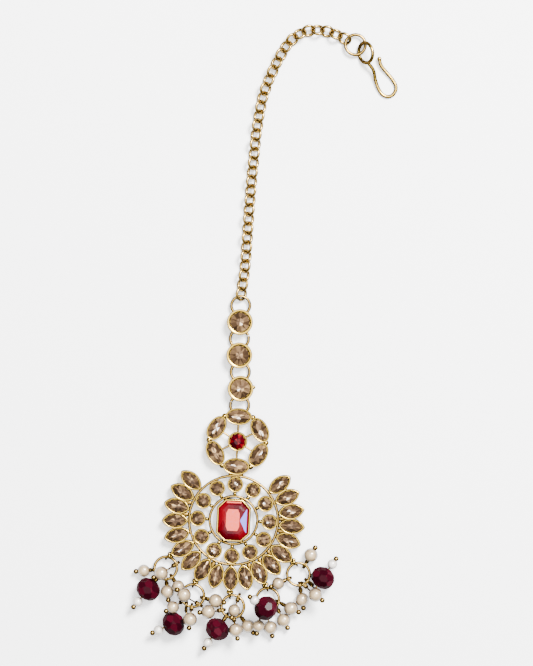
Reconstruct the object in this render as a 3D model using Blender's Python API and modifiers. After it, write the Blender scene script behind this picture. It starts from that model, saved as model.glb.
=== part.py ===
"""Maang tikka: a hair hook, a rolo chain, three stone collets, two stone medallions and bead drops.

The piece lies face up on the floor (z = 0).  +Y runs from the large medallion to the hook and
+X to the wearer's left.  The origin is on the flat back of the large medallion's centre setting.
"""
import math

import bpy
from mathutils import Matrix, Vector

# All sizes below are in millimetres and all turns in degrees.
MM = 0.001
GAP = 0.12
LAID_GAP = 0.07
BITE = 0.08
SMOOTH_ANGLE = 75.0

# Wires
RING_WIRE = 0.8
EYE_WIRE = 0.5
CHAIN_WIRE = 0.82
HOOK_WIRE = 0.96
HOOK_RING_WIRE = 0.86
PIN_WIRE = 0.45

# Settings, whose cup leans in a little, and whose lip holds the stone's edge
CUP_BASE = 1.55
CUP_RIM = 3.35
CUP_WALL = 0.35
CUP_LIP = 0.15
CUP_TAPER = 0.1
CUP_DEPTH = 1.3
LIP_THICKNESS = 0.2
LIP_SLOPE = 0.1
STONE_PLAY = 0.1
EDGE_DEPTH = 0.65
EDGE_THICKNESS = 0.15
CROWN_RISE = 0.15
TABLE_RISE = 0.4
FIXED_TABLE = 0.7
FIXED_RISE = 0.25
CENTRE_TABLE = 1.8
ROUND_TABLE = 1.0
OVAL_TABLE = 0.9
COLLET_TABLE = 1.3

# Large medallion, from the inside out
CENTRE_WIDTH = 9.2
CENTRE_LENGTH = 11.5
CENTRE_CORNER = 2.3
CENTRE_RIM = 3.9
INNER_RING_DIAMETER = 13.7
INNER_RING_WIRE = 0.8
OUTER_RING_DIAMETER = 24.8
HALO_COUNT = 12
HALO_ROOM = 0.725
HALO_BITE = 0.225
HALO_OUTSIDE = OUTER_RING_DIAMETER / 2 - RING_WIRE + HALO_BITE
HALO_DIAMETER = HALO_OUTSIDE - INNER_RING_DIAMETER / 2 - HALO_ROOM
HALO_RADIUS = HALO_OUTSIDE - HALO_DIAMETER / 2
PETAL_COUNT = 19
PETAL_STEP = 14.5
PETAL_LENGTH = 7.2
PETAL_WIDTH = 4.2
PETAL_BITE = 0.25
PETAL_RADIUS = OUTER_RING_DIAMETER / 2 + PETAL_LENGTH / 2 - PETAL_BITE
WEB_LENGTH = 3.0
WEB_WIDTH = 1.3
WEB_THICKNESS = 0.4
WEB_LIFT = 0.25
WEB_STAND = 0.9
GRAIN = 1.1
CORNER_GRAIN = 0.85

# Small medallion
UPPER_COUNT = 6
OVAL_LENGTH = 7.0
OVAL_WIDTH = 4.5
ROUND_DIAMETER = 5.3
SPOKE_LENGTH = 1.85
SPOKE_WIRE = 0.7
SPOKE_BITE = 0.2
UPPER_GRAIN = 1.6
UPPER_BITE = 0.1
UPPER_RADIUS = ROUND_DIAMETER / 2 + SPOKE_LENGTH + OVAL_WIDTH / 2
UPPER_OFFSET = OUTER_RING_DIAMETER / 2 + OVAL_WIDTH / 2 + UPPER_RADIUS - UPPER_BITE
UPPER_LOOP_STAND = 0.55
JUNCTION_SPREAD = 1.5
JUNCTION_GRAIN = 1.4

# Collets and the rings between them
COLLET_DIAMETER = 7.0
COLLET_RIM = 3.6
COLLET_LOOP_OFFSET = 2.0
LINK_RING_DIAMETER = 5.8

# Chain
LINK_DIAMETER = 4.1
LINK_ROLL = 45.0
CHAIN_LENGTH = 90.5

# Hook
HOOK_RING_DIAMETER = 6.3
HOOK_EYE_DIAMETER = 6.4
HOOK_EYE_TILT = 50.0
HOOK_EYE_BEARING = -36.5
HOOK_EYE_NEARNESS = 0.654
HOOK_EYE_LIFT = 0.03

# Drops
EYE_STAND = 1.15
DROP_EYE_REACH = PETAL_RADIUS + PETAL_LENGTH / 2 + EYE_STAND
TIP_GRAIN = 1.2
TIP_SPREAD = 0.45
TIP_SINK = 0.1
TIP_LOW = 2.0
TIP_HIGH = 2.4
DROP_RING_DIAMETER = 6.9
DROP_RING_RISE = 10.0
DROP_EYE_HEIGHT = 1.3
PIN_LOOP_DIAMETER = 2.3
NECK_LEAST = 0.1
NECK_STUB = 0.4
PEARL_DIAMETER = 3.8
LESSER_PEARL_DIAMETER = 3.4
CAP_PEARL_DIAMETER = 2.7
BALL_DIAMETER = 1.4
GARNET_DIAMETER = 6.8
GARNET_LENGTH = 6.0
GARNET_HOLE = 0.8
HEAP_HEIGHT = 12.0

# Leans of the pieces between the small medallion and the chain, from +Y towards +X.
LEANS = {
    "collet_ring_3": 1.6,
    "collet_3": -1.0,
    "collet_ring_2": -6.5,
    "collet_2": -5.0,
    "collet_ring_1": -1.0,
    "collet_1": -1.0,
    "chain_ring": 0.0,
}

# The chosen points that the chain passes through after its first link.
CHAIN_ROUTE = [
    (-0.3, 69.7),
    (0.0, 84.7),
    (0.5, 97.3),
    (1.1, 107.1),
    (2.7, 116.8),
    (6.8, 127.0),
    (10.4, 131.6),
    (14.6, 133.4),
    (19.3, 133.1),
    (23.3, 131.6),
    (27.9, 128.9),
]

# The hook's wire from the foot of its eye: how far right and up it goes, and how far it
# lies above the floor.
HOOK_ROUTE = [
    (1.6, -1.9, 1.4),
    (2.4, -4.6, 0.5),
    (3.4, -6.9, 0.1),
    (4.7, -8.4, 0.0),
    (6.3, -8.7, 0.0),
    (7.7, -7.6, 0.0),
    (8.0, -6.1, 0.0),
    (7.1, -4.3, 0.1),
    (5.2, -2.2, 0.3),
    (3.6, -0.3, 0.6),
    (3.1, 1.3, 0.8),
]

# Bearings are counter-clockwise from +X.  Each drop ring hangs from the eye on one petal.
DROP_RINGS = {
    1: {"petal": -4, "hang": -95.0},
    2: {"petal": -2, "hang": -91.0},
    3: {"petal": 0, "hang": -71.0},
    4: {"petal": 2, "hang": -83.0},
    5: {"petal": 4, "hang": -73.0},
}

# Where each bead lies from the middle of its ring, and where its pin loop sits on the ring.
DROPS = [
    {"ring": 1, "bead": "garnet", "out": 7.2, "bearing": -127.0, "loop": -127.0},
    {"ring": 1, "bead": "lesser", "out": 6.0, "bearing": -170.0, "loop": -168.0},
    {"ring": 1, "bead": "pearl", "out": 6.4, "bearing": -83.0, "loop": -85.0},
    {"ring": 1, "bead": "lesser", "out": 4.4, "bearing": -52.0, "loop": -52.0},
    {"ring": 1, "bead": "pearl", "out": 1.6, "bearing": -132.0, "loop": 25.0},
    {"ring": 2, "bead": "garnet", "out": 9.0, "bearing": -122.0, "loop": -120.0, "aim": -153.0},
    {"ring": 2, "bead": "pearl", "out": 6.3, "bearing": -9.0, "loop": -9.0},
    {"ring": 2, "bead": "lesser", "out": 5.7, "bearing": -149.0, "loop": -150.0},
    {"ring": 2, "bead": "pearl", "out": 5.4, "bearing": -93.0, "loop": -92.0},
    {"ring": 2, "bead": "pearl", "out": 2.3, "bearing": 169.0, "loop": -50.0},
    {"ring": 3, "bead": "garnet", "out": 7.1, "bearing": -122.0, "loop": -122.0},
    {"ring": 3, "bead": "pearl", "out": 6.7, "bearing": -49.0, "loop": -49.0},
    {"ring": 3, "bead": "pearl", "out": 5.3, "bearing": -79.0, "loop": -82.0},
    {"ring": 3, "bead": "pearl", "out": 6.7, "bearing": -167.0, "loop": -160.0},
    {"ring": 3, "bead": "lesser", "out": 0.9, "bearing": -60.0, "loop": 62.0},
    {"ring": 4, "bead": "pearl", "out": 7.7, "bearing": -82.0, "loop": -96.0},
    {"ring": 4, "bead": "pearl", "out": 7.1, "bearing": -50.0, "loop": -38.0},
    {"ring": 4, "bead": "lesser", "out": 7.4, "bearing": -107.0, "loop": -119.0},
    {"ring": 4, "bead": "pearl", "out": 6.7, "bearing": -18.0, "loop": -12.0},
    {"ring": 4, "bead": "garnet", "out": 2.0, "bearing": -102.0, "loop": -60.0,
     "aim": 145.0, "rise": 30.0},
    {"ring": 5, "bead": "garnet", "out": 6.6, "bearing": -4.0, "loop": -34.0, "aim": 58.0},
    {"ring": 5, "bead": "lesser", "out": 5.8, "bearing": -153.0, "loop": -153.0},
    {"ring": 5, "bead": "pearl", "out": 5.7, "bearing": 60.0, "loop": 58.0},
    {"ring": 5, "bead": "pearl", "out": 6.9, "bearing": -79.0, "loop": -81.0},
    {"ring": 5, "bead": "pearl", "out": 6.9, "bearing": -46.0, "loop": -60.0},
]

# Gaps between neighbouring petals, counted from the bottom one, that a thin web closes.
WEBBED_GAPS = [-7.5, -6.5, -1.5, 1.5, 2.5, 3.5, 5.5, 6.5]

GOLD = (0.55, 0.42, 0.16)
CHAMPAGNE = (0.42, 0.30, 0.22)
RED = (0.55, 0.01, 0.03)
GARNET = (0.10, 0.01, 0.03)
PEARL = (0.55, 0.43, 0.30)


def heading(degrees):
    """Level unit vector at a bearing counter-clockwise from +X."""
    turn = math.radians(degrees)
    return Vector((math.cos(turn), math.sin(turn), 0.0))


def spin(degrees):
    return Matrix.Rotation(math.radians(degrees), 4, "Z")


def frame_of(centre, along, normal):
    """Matrix whose X runs along a direction and whose Z is as near to a normal as it can be."""
    x_axis = along.normalized()
    z_axis = (normal - x_axis * normal.dot(x_axis)).normalized()
    y_axis = z_axis.cross(x_axis)
    turn = Matrix((x_axis, y_axis, z_axis)).transposed()
    return Matrix.Translation(centre) @ turn.to_4x4()


def add_mesh(name, points, faces):
    mesh = bpy.data.meshes.new(name)
    mesh.from_pydata([tuple(point) for point in points], [], faces)
    mesh.validate()
    body = bpy.data.objects.new(name, mesh)
    PARTS.objects.link(body)
    return body


def place(body, matrix):
    body.data.transform(matrix)
    return body


def loft(name, outlines):
    """Solid through a stack of unlike outlines, capped at both ends."""
    count = len(outlines[0])
    points = [point for outline in outlines for point in outline]
    faces = [tuple(reversed(range(count))), tuple(range(len(points) - count, len(points)))]
    for step in range(len(outlines) - 1):
        low = step * count
        high = low + count
        for index in range(count):
            after = (index + 1) % count
            faces.append((low + index, low + after, high + after, high + index))
    return add_mesh(name, points, faces)


def oval(length, width, sides):
    """Outline maker for a round or oval shape; the inset narrows it all round."""
    def outline(inset, height):
        turns = [2.0 * math.pi * index / sides for index in range(sides)]
        return [
            Vector(((length / 2 - inset) * math.cos(turn), (width / 2 - inset) * math.sin(turn), height))
            for turn in turns
        ]
    return outline


def leaf(length, width, sides):
    """Outline maker for a pointed petal lying along X."""
    def outline(inset, height):
        half_length = length / 2 - inset * 1.5
        half_width = width / 2 - inset
        turns = [2.0 * math.pi * index / sides for index in range(sides)]
        return [
            Vector((
                half_length * math.cos(turn),
                half_width * math.sin(turn) * abs(math.sin(turn)) ** 0.6,
                height,
            ))
            for turn in turns
        ]
    return outline


def cut_corner(length, width, corner):
    """Outline maker for an octagon with its long side along X."""
    def outline(inset, height):
        half_length = length / 2 - inset
        half_width = width / 2 - inset
        cut = corner - inset * (2.0 - math.sqrt(2.0))
        corners = [
            (half_length, half_width - cut),
            (half_length - cut, half_width),
            (cut - half_length, half_width),
            (-half_length, half_width - cut),
            (-half_length, cut - half_width),
            (cut - half_length, -half_width),
            (half_length - cut, -half_width),
            (half_length, cut - half_width),
        ]
        return [Vector((across, up, height)) for across, up in corners]
    return outline


def turned(name, diameter, sides, levels, drilled=False):
    """Solid of revolution about Z through levels of inset from the full diameter and height.

    A drilled one has its last level joined to its first, round the hole.
    """
    profile = [(diameter / 2 - inset, 0.0, height) for inset, height in levels]
    if not drilled:
        profile = [(0.0, 0.0, levels[0][1]), *profile, (0.0, 0.0, levels[-1][1])]
    edges = [(index, index + 1) for index in range(len(profile) - 1)]
    if drilled:
        edges.append((len(profile) - 1, 0))
    mesh = bpy.data.meshes.new(name)
    mesh.from_pydata(profile, edges, [])
    body = bpy.data.objects.new(name, mesh)
    PARTS.objects.link(body)
    screw = body.modifiers.new("screw", "SCREW")
    screw.steps = sides
    screw.render_steps = sides
    screw.use_merge_vertices = True
    screw.merge_threshold = 0.0001
    select_only(body)
    bpy.ops.object.modifier_apply(modifier=screw.name)
    face_outward(body)
    return body


def levelled(name, outline, levels):
    """Solid through the same levels whose sections follow an outline."""
    return loft(name, [outline(inset, height) for inset, height in levels])


def cup_levels(rim, base):
    """Open setting whose lip leans over the edge of a loose stone."""
    lip = CUP_WALL + CUP_LIP
    return [
        (0.0, base),
        (CUP_TAPER, rim),
        (lip, rim),
        (lip, rim - LIP_THICKNESS),
        (CUP_WALL, rim - LIP_THICKNESS - LIP_SLOPE),
        (CUP_WALL, rim - CUP_DEPTH),
    ]


def stone_levels(rim, table):
    """Loose stone with a faceted back, a thin edge under the lip, a crown and a table."""
    edge = CUP_WALL + STONE_PLAY
    return [
        (edge + table * 0.8, rim - CUP_DEPTH + STONE_PLAY),
        (edge, rim - EDGE_DEPTH),
        (edge, rim - EDGE_DEPTH + EDGE_THICKNESS),
        (edge + table * 0.5, rim + CROWN_RISE),
        (edge + table, rim + TABLE_RISE),
    ]


def filled_levels():
    """Setting and its stone as one solid."""
    lip = CUP_WALL + CUP_LIP
    return [
        (0.0, CUP_BASE),
        (CUP_TAPER, CUP_RIM),
        (lip, CUP_RIM - LIP_SLOPE),
        (lip + FIXED_TABLE, CUP_RIM + FIXED_RISE),
    ]


def select_only(body):
    bpy.ops.object.select_all(action="DESELECT")
    body.select_set(True)
    bpy.context.view_layer.objects.active = body


def face_outward(body):
    """Merge doubled points and turn every face outward."""
    select_only(body)
    bpy.ops.object.mode_set(mode="EDIT")
    bpy.ops.mesh.select_all(action="SELECT")
    bpy.ops.mesh.remove_doubles(threshold=0.0001)
    bpy.ops.mesh.normals_make_consistent(inside=False)
    bpy.ops.object.mode_set(mode="OBJECT")


def take(name):
    """The primitive just added, named and moved into the parts' collection."""
    body = bpy.context.active_object
    body.name = name
    for home in list(body.users_collection):
        home.objects.unlink(body)
    PARTS.objects.link(body)
    return body


def hoop(name, diameter, wire, segments, sides):
    """Wire ring lying level; the diameter is measured outside the wire."""
    bpy.ops.mesh.primitive_torus_add(
        major_segments=segments, minor_segments=sides,
        major_radius=(diameter - wire) / 2, minor_radius=wire / 2,
    )
    return take(name)


def rod(name, start, end, wire, sides=6):
    """Straight round wire between two points."""
    length = (end - start).length
    bpy.ops.mesh.primitive_cylinder_add(vertices=sides, radius=wire / 2, depth=length)
    matrix = frame_of((start + end) / 2, (end - start).cross(Vector((0.31, 0.22, 0.92))), end - start)
    return place(take(name), matrix)


def ball(name, centre, diameter, sides, rows):
    """Round bead made of rows of flat faces."""
    bpy.ops.mesh.primitive_uv_sphere_add(segments=sides, ring_count=rows, radius=diameter / 2)
    return place(take(name), Matrix.Translation(centre))


def grain(name, centre, diameter):
    """Small solder ball."""
    bpy.ops.mesh.primitive_ico_sphere_add(subdivisions=1, radius=diameter / 2)
    return place(take(name), Matrix.Translation(centre))


def fuse(name, pieces):
    """Join touching solids into one body."""
    body = pieces[0]
    body.name = name
    rest = bpy.data.collections.new(name + "_pieces")
    bpy.context.scene.collection.children.link(rest)
    for piece in pieces[1:]:
        PARTS.objects.unlink(piece)
        rest.objects.link(piece)
    union = body.modifiers.new("union", "BOOLEAN")
    union.operation = "UNION"
    union.operand_type = "COLLECTION"
    union.collection = rest
    union.solver = "EXACT"
    select_only(body)
    bpy.ops.object.modifier_apply(modifier=union.name)
    for piece in pieces[1:]:
        bpy.data.objects.remove(piece, do_unlink=True)
    bpy.data.collections.remove(rest)
    return body


def finish(body, colour, metallic, roughness):
    """Give a node its own material."""
    material = bpy.data.materials.new(body.name + "_material")
    material.use_nodes = True
    shader = material.node_tree.nodes["Principled BSDF"]
    shader.inputs["Base Color"].default_value = (*colour, 1.0)
    shader.inputs["Metallic"].default_value = metallic
    shader.inputs["Roughness"].default_value = roughness
    body.data.materials.clear()
    body.data.materials.append(material)
    body.data.name = body.name
    body.data.transform(Matrix.Scale(MM, 4))


def smooth(body):
    """Smooth shading that keeps the edges of settings sharp."""
    body.data.shade_smooth()
    body.data.set_sharp_from_angle(angle=math.radians(SMOOTH_ANGLE))


def metal(body):
    smooth(body)
    finish(body, GOLD, 1.0, 0.35)


def gem(body, colour):
    """Cut stones keep their flat faces."""
    finish(body, colour, 0.0, 0.1)


def back_loop(name, centre, along):
    """Upright loop that a level ring passes through; its foot rests on the floor."""
    diameter = loop_diameter()
    loop = hoop(name, diameter, EYE_WIRE, 8, 5)
    upright = frame_of(centre, Vector((0.0, 0.0, 1.0)), along.cross(Vector((0.0, 0.0, 1.0))))
    return place(loop, upright)


def loop_diameter():
    return RING_WIRE + 2 * GAP + 2 * EYE_WIRE


def loop_height():
    return loop_diameter() / 2


def petal_bearing(index):
    return -90.0 + index * PETAL_STEP


def build_pendant():
    """Both medallions, their fixed stones and all eyes, soldered into one body."""
    pieces = []
    mid = (CUP_BASE + CUP_RIM) / 2
    outer = hoop("outer_ring", OUTER_RING_DIAMETER, RING_WIRE, 36, 5)
    pieces.append(place(outer, Matrix.Translation((0.0, 0.0, mid))))
    inner = hoop("inner_ring", INNER_RING_DIAMETER, INNER_RING_WIRE, 24, 5)
    pieces.append(place(inner, Matrix.Translation((0.0, 0.0, mid))))
    octagon = cut_corner(CENTRE_LENGTH, CENTRE_WIDTH, CENTRE_CORNER)
    pieces.append(place(levelled("centre_cup", octagon, cup_levels(CENTRE_RIM, 0.0)), spin(90.0)))
    for right in (-1.0, 1.0):
        for up in (-1.0, 1.0):
            corner = Vector((right * (CENTRE_WIDTH / 2 - CENTRE_CORNER), up * CENTRE_LENGTH / 2, 0.0))
            span = (INNER_RING_DIAMETER - INNER_RING_WIRE) / 2 - corner.length
            spot = corner + corner.normalized() * span / 2 + Vector((0.0, 0.0, mid))
            pieces.append(grain("corner_grain", spot, abs(span) + CORNER_GRAIN))
    for index in range(HALO_COUNT):
        bearing = 90.0 + index * 360.0 / HALO_COUNT
        bezel = turned("halo", HALO_DIAMETER, 8, filled_levels())
        where = Matrix.Translation(heading(bearing) * HALO_RADIUS) @ spin(bearing)
        pieces.append(place(bezel, where))
        inner_edge = HALO_RADIUS - HALO_DIAMETER / 2
        joint = (inner_edge + INNER_RING_DIAMETER / 2) / 2
        spot = heading(bearing) * joint + Vector((0.0, 0.0, mid))
        pieces.append(grain("halo_grain", spot, GRAIN))
    for count in range(PETAL_COUNT):
        bearing = petal_bearing(count - PETAL_COUNT // 2)
        petal = levelled("petal", leaf(PETAL_LENGTH, PETAL_WIDTH, 8), filled_levels())
        where = Matrix.Translation(heading(bearing) * PETAL_RADIUS) @ spin(bearing)
        pieces.append(place(petal, where))
    for gap in WEBBED_GAPS:
        under = CUP_BASE + WEB_LIFT
        levels = [(0.0, under), (0.0, under + WEB_THICKNESS)]
        web = levelled("web", oval(WEB_LENGTH, WEB_WIDTH, 6), levels)
        bearing = petal_bearing(gap)
        reach = OUTER_RING_DIAMETER / 2 + WEB_STAND
        pieces.append(place(web, Matrix.Translation(heading(bearing) * reach) @ spin(bearing)))
    tip = PETAL_RADIUS + PETAL_LENGTH / 2
    for ring in DROP_RINGS.values():
        bearing = petal_bearing(ring["petal"])
        eye_spot = heading(bearing) * DROP_EYE_REACH + Vector((0.0, 0.0, DROP_EYE_HEIGHT))
        facing = heading((bearing + ring["hang"]) / 2)
        pieces.append(back_loop("drop_eye", eye_spot, facing))
        for side in (-TIP_SPREAD, TIP_SPREAD):
            spot = heading(bearing) * (tip + TIP_SINK) + heading(bearing + 90.0) * side
            pieces.append(grain("tip_grain", spot + Vector((0.0, 0.0, TIP_LOW)), TIP_GRAIN))
        spot = heading(bearing) * (tip + TIP_SPREAD) + Vector((0.0, 0.0, TIP_HIGH))
        pieces.append(grain("tip_grain", spot, TIP_GRAIN))
    middle = Vector((0.0, UPPER_OFFSET, 0.0))
    round_cup = turned("round_cup", ROUND_DIAMETER, 10, cup_levels(CUP_RIM, CUP_BASE))
    pieces.append(place(round_cup, Matrix.Translation(middle)))
    for index in range(UPPER_COUNT):
        bearing = 90.0 + index * 360.0 / UPPER_COUNT
        out = heading(bearing)
        outline = oval(OVAL_LENGTH, OVAL_WIDTH, 10)
        oval_cup = levelled("oval_cup", outline, cup_levels(CUP_RIM, CUP_BASE))
        where = Matrix.Translation(middle + out * UPPER_RADIUS) @ spin(bearing + 90.0)
        pieces.append(place(oval_cup, where))
        level = Vector((0.0, 0.0, mid))
        start = middle + out * (ROUND_DIAMETER / 2 - SPOKE_BITE) + level
        end = middle + out * (UPPER_RADIUS - OVAL_WIDTH / 2 + SPOKE_BITE) + level
        pieces.append(rod("spoke", start, end, SPOKE_WIRE))
        between = heading(bearing + 180.0 / UPPER_COUNT)
        spot = middle + between * (UPPER_RADIUS + OVAL_WIDTH * 0.2) + level
        pieces.append(grain("upper_grain", spot, UPPER_GRAIN))
    for side in (-1.0, 1.0):
        spot = Vector((side * JUNCTION_SPREAD, OUTER_RING_DIAMETER / 2, mid - RING_WIRE / 4))
        pieces.append(grain("junction_grain", spot, JUNCTION_GRAIN))
    pieces.append(back_loop("top_loop", upper_loop_centre(), Vector((0.0, 1.0, 0.0))))
    pendant = fuse("pendant_frame", pieces)
    metal(pendant)


def upper_loop_centre():
    return Vector((0.0, UPPER_OFFSET + UPPER_RADIUS + UPPER_LOOP_STAND, loop_height()))


def build_stones():
    """Loose stones of both medallions."""
    octagon = cut_corner(CENTRE_LENGTH, CENTRE_WIDTH, CENTRE_CORNER)
    centre = levelled("centre_stone", octagon, stone_levels(CENTRE_RIM, CENTRE_TABLE))
    gem(place(centre, spin(90.0)), RED)
    middle = Vector((0.0, UPPER_OFFSET, 0.0))
    small = turned("small_red_stone", ROUND_DIAMETER, 10, stone_levels(CUP_RIM, ROUND_TABLE))
    gem(place(small, Matrix.Translation(middle)), RED)
    for index in range(UPPER_COUNT):
        bearing = 90.0 + index * 360.0 / UPPER_COUNT
        name = "oval_stone_" + str(index + 1)
        outline = oval(OVAL_LENGTH, OVAL_WIDTH, 10)
        body = levelled(name, outline, stone_levels(CUP_RIM, OVAL_TABLE))
        where = Matrix.Translation(middle + heading(bearing) * UPPER_RADIUS) @ spin(bearing + 90.0)
        gem(place(body, where), CHAMPAGNE)


def build_collet(number, centre, lean):
    along = heading(90.0 - lean)
    where = Matrix.Translation(centre) @ spin(-lean)
    setting = turned("collet_cup", COLLET_DIAMETER, 14, cup_levels(COLLET_RIM, CUP_BASE))
    pieces = [place(setting, where)]
    for side in (-1.0, 1.0):
        loop_centre = centre + along * side * COLLET_LOOP_OFFSET + Vector((0.0, 0.0, loop_height()))
        pieces.append(back_loop("collet_loop", loop_centre, along))
    if number == 3:
        edge = centre + heading(-lean + 8.0) * (COLLET_DIAMETER / 2)
        edge.z = COLLET_RIM - GRAIN / 2
        pieces.append(grain("collet_point", edge, GRAIN))
    metal(fuse("collet_" + str(number), pieces))
    levels = stone_levels(COLLET_RIM, COLLET_TABLE)
    body = turned("collet_stone_" + str(number), COLLET_DIAMETER, 14, levels)
    gem(place(body, where), CHAMPAGNE)


def build_ring(name, low, lean, far_height):
    """Ring from one loop to the next; gives back the middle of its far wire."""
    reach = LINK_RING_DIAMETER - RING_WIRE
    rise = far_height - low.z
    level = math.sqrt(reach ** 2 - rise ** 2)
    high = low + heading(90.0 - lean) * level + Vector((0.0, 0.0, rise))
    ring = hoop(name, LINK_RING_DIAMETER, RING_WIRE, 14, 5)
    metal(place(ring, frame_of((low + high) / 2, high - low, Vector((0.0, 0.0, 1.0)))))
    return high


def link_radius():
    return (LINK_DIAMETER - CHAIN_WIRE) / 2


def chain_height():
    """Height of a rolled link's middle when its two sides rest on the floor."""
    return link_radius() * math.sin(math.radians(LINK_ROLL)) + CHAIN_WIRE / 2


def chain_curve(start):
    """Evenly fine points along a smooth run through the chosen points."""
    knots = [Vector((start.x, start.y))] + [Vector(point) for point in CHAIN_ROUTE]
    knots = [knots[0] * 2 - knots[1]] + knots + [knots[-1] * 2 - knots[-2]]
    points = []
    for index in range(1, len(knots) - 2):
        before, first, second, after = knots[index - 1:index + 3]
        for step in range(40):
            t = step / 40
            points.append(0.5 * (
                first * 2 + (second - before) * t
                + (before * 2 - first * 5 + second * 4 - after) * t ** 2
                + (first * 3 - before - second * 3 + after) * t ** 3
            ))
    points.append(knots[-2])
    return points


def walk(points, stride, count):
    """Points a fixed straight stride apart along the run; it goes straight on past the end."""
    spots = [points[0]]
    index = 1
    while len(spots) < count:
        while index < len(points) and (points[index] - spots[-1]).length < stride:
            index += 1
        if index == len(points):
            onward = (points[-1] - points[-2]).normalized()
            spots.append(spots[-1] + onward * stride)
            continue
        before, after = points[index - 1], points[index]
        low, high = 0.0, 1.0
        for _ in range(30):
            middle = (low + high) / 2
            if (before.lerp(after, middle) - spots[-1]).length < stride:
                low = middle
            else:
                high = middle
        spots.append(before.lerp(after, high))
    return spots


def build_chain(first_wire):
    """Links from the chain ring onward, soldered where they touch; gives back the end and its way."""
    pitch = 2 * link_radius() - CHAIN_WIRE + BITE
    step_in = link_radius() - (RING_WIRE + CHAIN_WIRE) / 2 - GAP
    start = first_wire + Vector((0.0, step_in, 0.0))
    count = int(CHAIN_LENGTH / pitch)
    spots = walk(chain_curve(start), pitch, count + 1)
    pieces = []
    for index in range(count):
        before = spots[max(index - 1, 0)]
        after = spots[index + 1]
        along = (after - before).normalized().to_3d()
        roll = LINK_ROLL if index % 2 == 0 else -LINK_ROLL
        normal = Matrix.Rotation(math.radians(roll), 3, along) @ Vector((0.0, 0.0, 1.0))
        centre = spots[index].to_3d() + Vector((0.0, 0.0, chain_height()))
        link = hoop("link", LINK_DIAMETER, CHAIN_WIRE, 10, 6)
        pieces.append(place(link, frame_of(centre, along, normal)))
    last = spots[count - 1].to_3d() + Vector((0.0, 0.0, chain_height()))
    way = (spots[count] - spots[count - 2]).normalized().to_3d()
    metal(fuse("chain", pieces))
    return last, way


def build_hook(last_link, way):
    """Hook ring on the last link, and the hook hanging from it by its eye."""
    ring_radius = (HOOK_RING_DIAMETER - HOOK_RING_WIRE) / 2
    step_in = link_radius() - (HOOK_RING_WIRE + CHAIN_WIRE) / 2 - GAP
    centre = last_link + way * (ring_radius + step_in)
    ring = hoop("hook_ring", HOOK_RING_DIAMETER, HOOK_RING_WIRE, 14, 5)
    metal(place(ring, frame_of(centre, way, Vector((0.0, 0.0, 1.0)))))
    down = heading(-75.0)
    across = heading(15.0)
    eye_radius = (HOOK_EYE_DIAMETER - HOOK_WIRE) / 2
    tilt = math.radians(HOOK_EYE_TILT)
    lean = across * math.cos(tilt) + Vector((0.0, 0.0, math.sin(tilt)))
    eye_height = eye_radius * math.sin(tilt) + HOOK_WIRE / 2
    reach = (ring_radius + eye_radius) * HOOK_EYE_NEARNESS
    eye_centre = Vector((centre.x, centre.y, 0.0)) + heading(HOOK_EYE_BEARING) * reach
    eye_centre.z = eye_height + HOOK_EYE_LIFT
    eye = hoop("hook", HOOK_EYE_DIAMETER, HOOK_WIRE, 14, 5)
    place(eye, frame_of(eye_centre, down, down.cross(lean)))
    foot = eye_centre + down * eye_radius
    path = [foot]
    for right, up, rise in HOOK_ROUTE:
        path.append(Vector((foot.x + right, foot.y + up, HOOK_WIRE / 2 + rise)))
    curve = bpy.data.curves.new("hook_wire", "CURVE")
    curve.dimensions = "3D"
    curve.bevel_depth = HOOK_WIRE / 2
    curve.bevel_resolution = 1
    curve.use_fill_caps = True
    spline = curve.splines.new("POLY")
    spline.points.add(len(path) - 1)
    for point, spot in zip(spline.points, path):
        point.co = (*spot, 1.0)
    shape = bpy.data.objects.new("hook_wire", curve)
    PARTS.objects.link(shape)
    bpy.context.view_layer.update()
    solid = bpy.data.meshes.new_from_object(shape.evaluated_get(bpy.context.evaluated_depsgraph_get()))
    bpy.data.objects.remove(shape, do_unlink=True)
    wire = bpy.data.objects.new("hook_wire", solid)
    PARTS.objects.link(wire)
    face_outward(wire)
    tip = ball("hook_tip", path[-1], HOOK_WIRE * 1.25, 8, 6)
    metal(fuse("hook", [eye, wire, tip]))


def bead_size(kind):
    """Half length along the pin, and radius, of a drop's main bead."""
    if kind == "garnet":
        return GARNET_LENGTH / 2, GARNET_DIAMETER / 2
    diameter = PEARL_DIAMETER if kind == "pearl" else LESSER_PEARL_DIAMETER
    return diameter / 2, diameter / 2


def drop_way(drop, loop_spot, bead_spot):
    """Way that a drop's pin points, level unless it rises, and the spot where the pin bends."""
    half, radius = bead_size(drop["bead"])
    away = bead_spot - loop_spot
    aim = heading(drop["aim"]) if "aim" in drop else Vector((away.x, away.y, 0.0)).normalized()
    rise = math.radians(drop.get("rise", 0.0))
    aim = aim * math.cos(rise) + Vector((0.0, 0.0, math.sin(rise)))
    stub = NECK_STUB if drop["bead"] == "garnet" else 0.0
    return aim, bead_spot - aim * (half + stub)


def drop_end(drop, aim, bead_spot):
    """Middle of the ball that closes a pin."""
    half, radius = bead_size(drop["bead"])
    end = bead_spot + aim * half
    if drop["bead"] == "garnet":
        end += aim * (GAP + CAP_PEARL_DIAMETER)
    return end + aim * BALL_DIAMETER * 0.3


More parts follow.
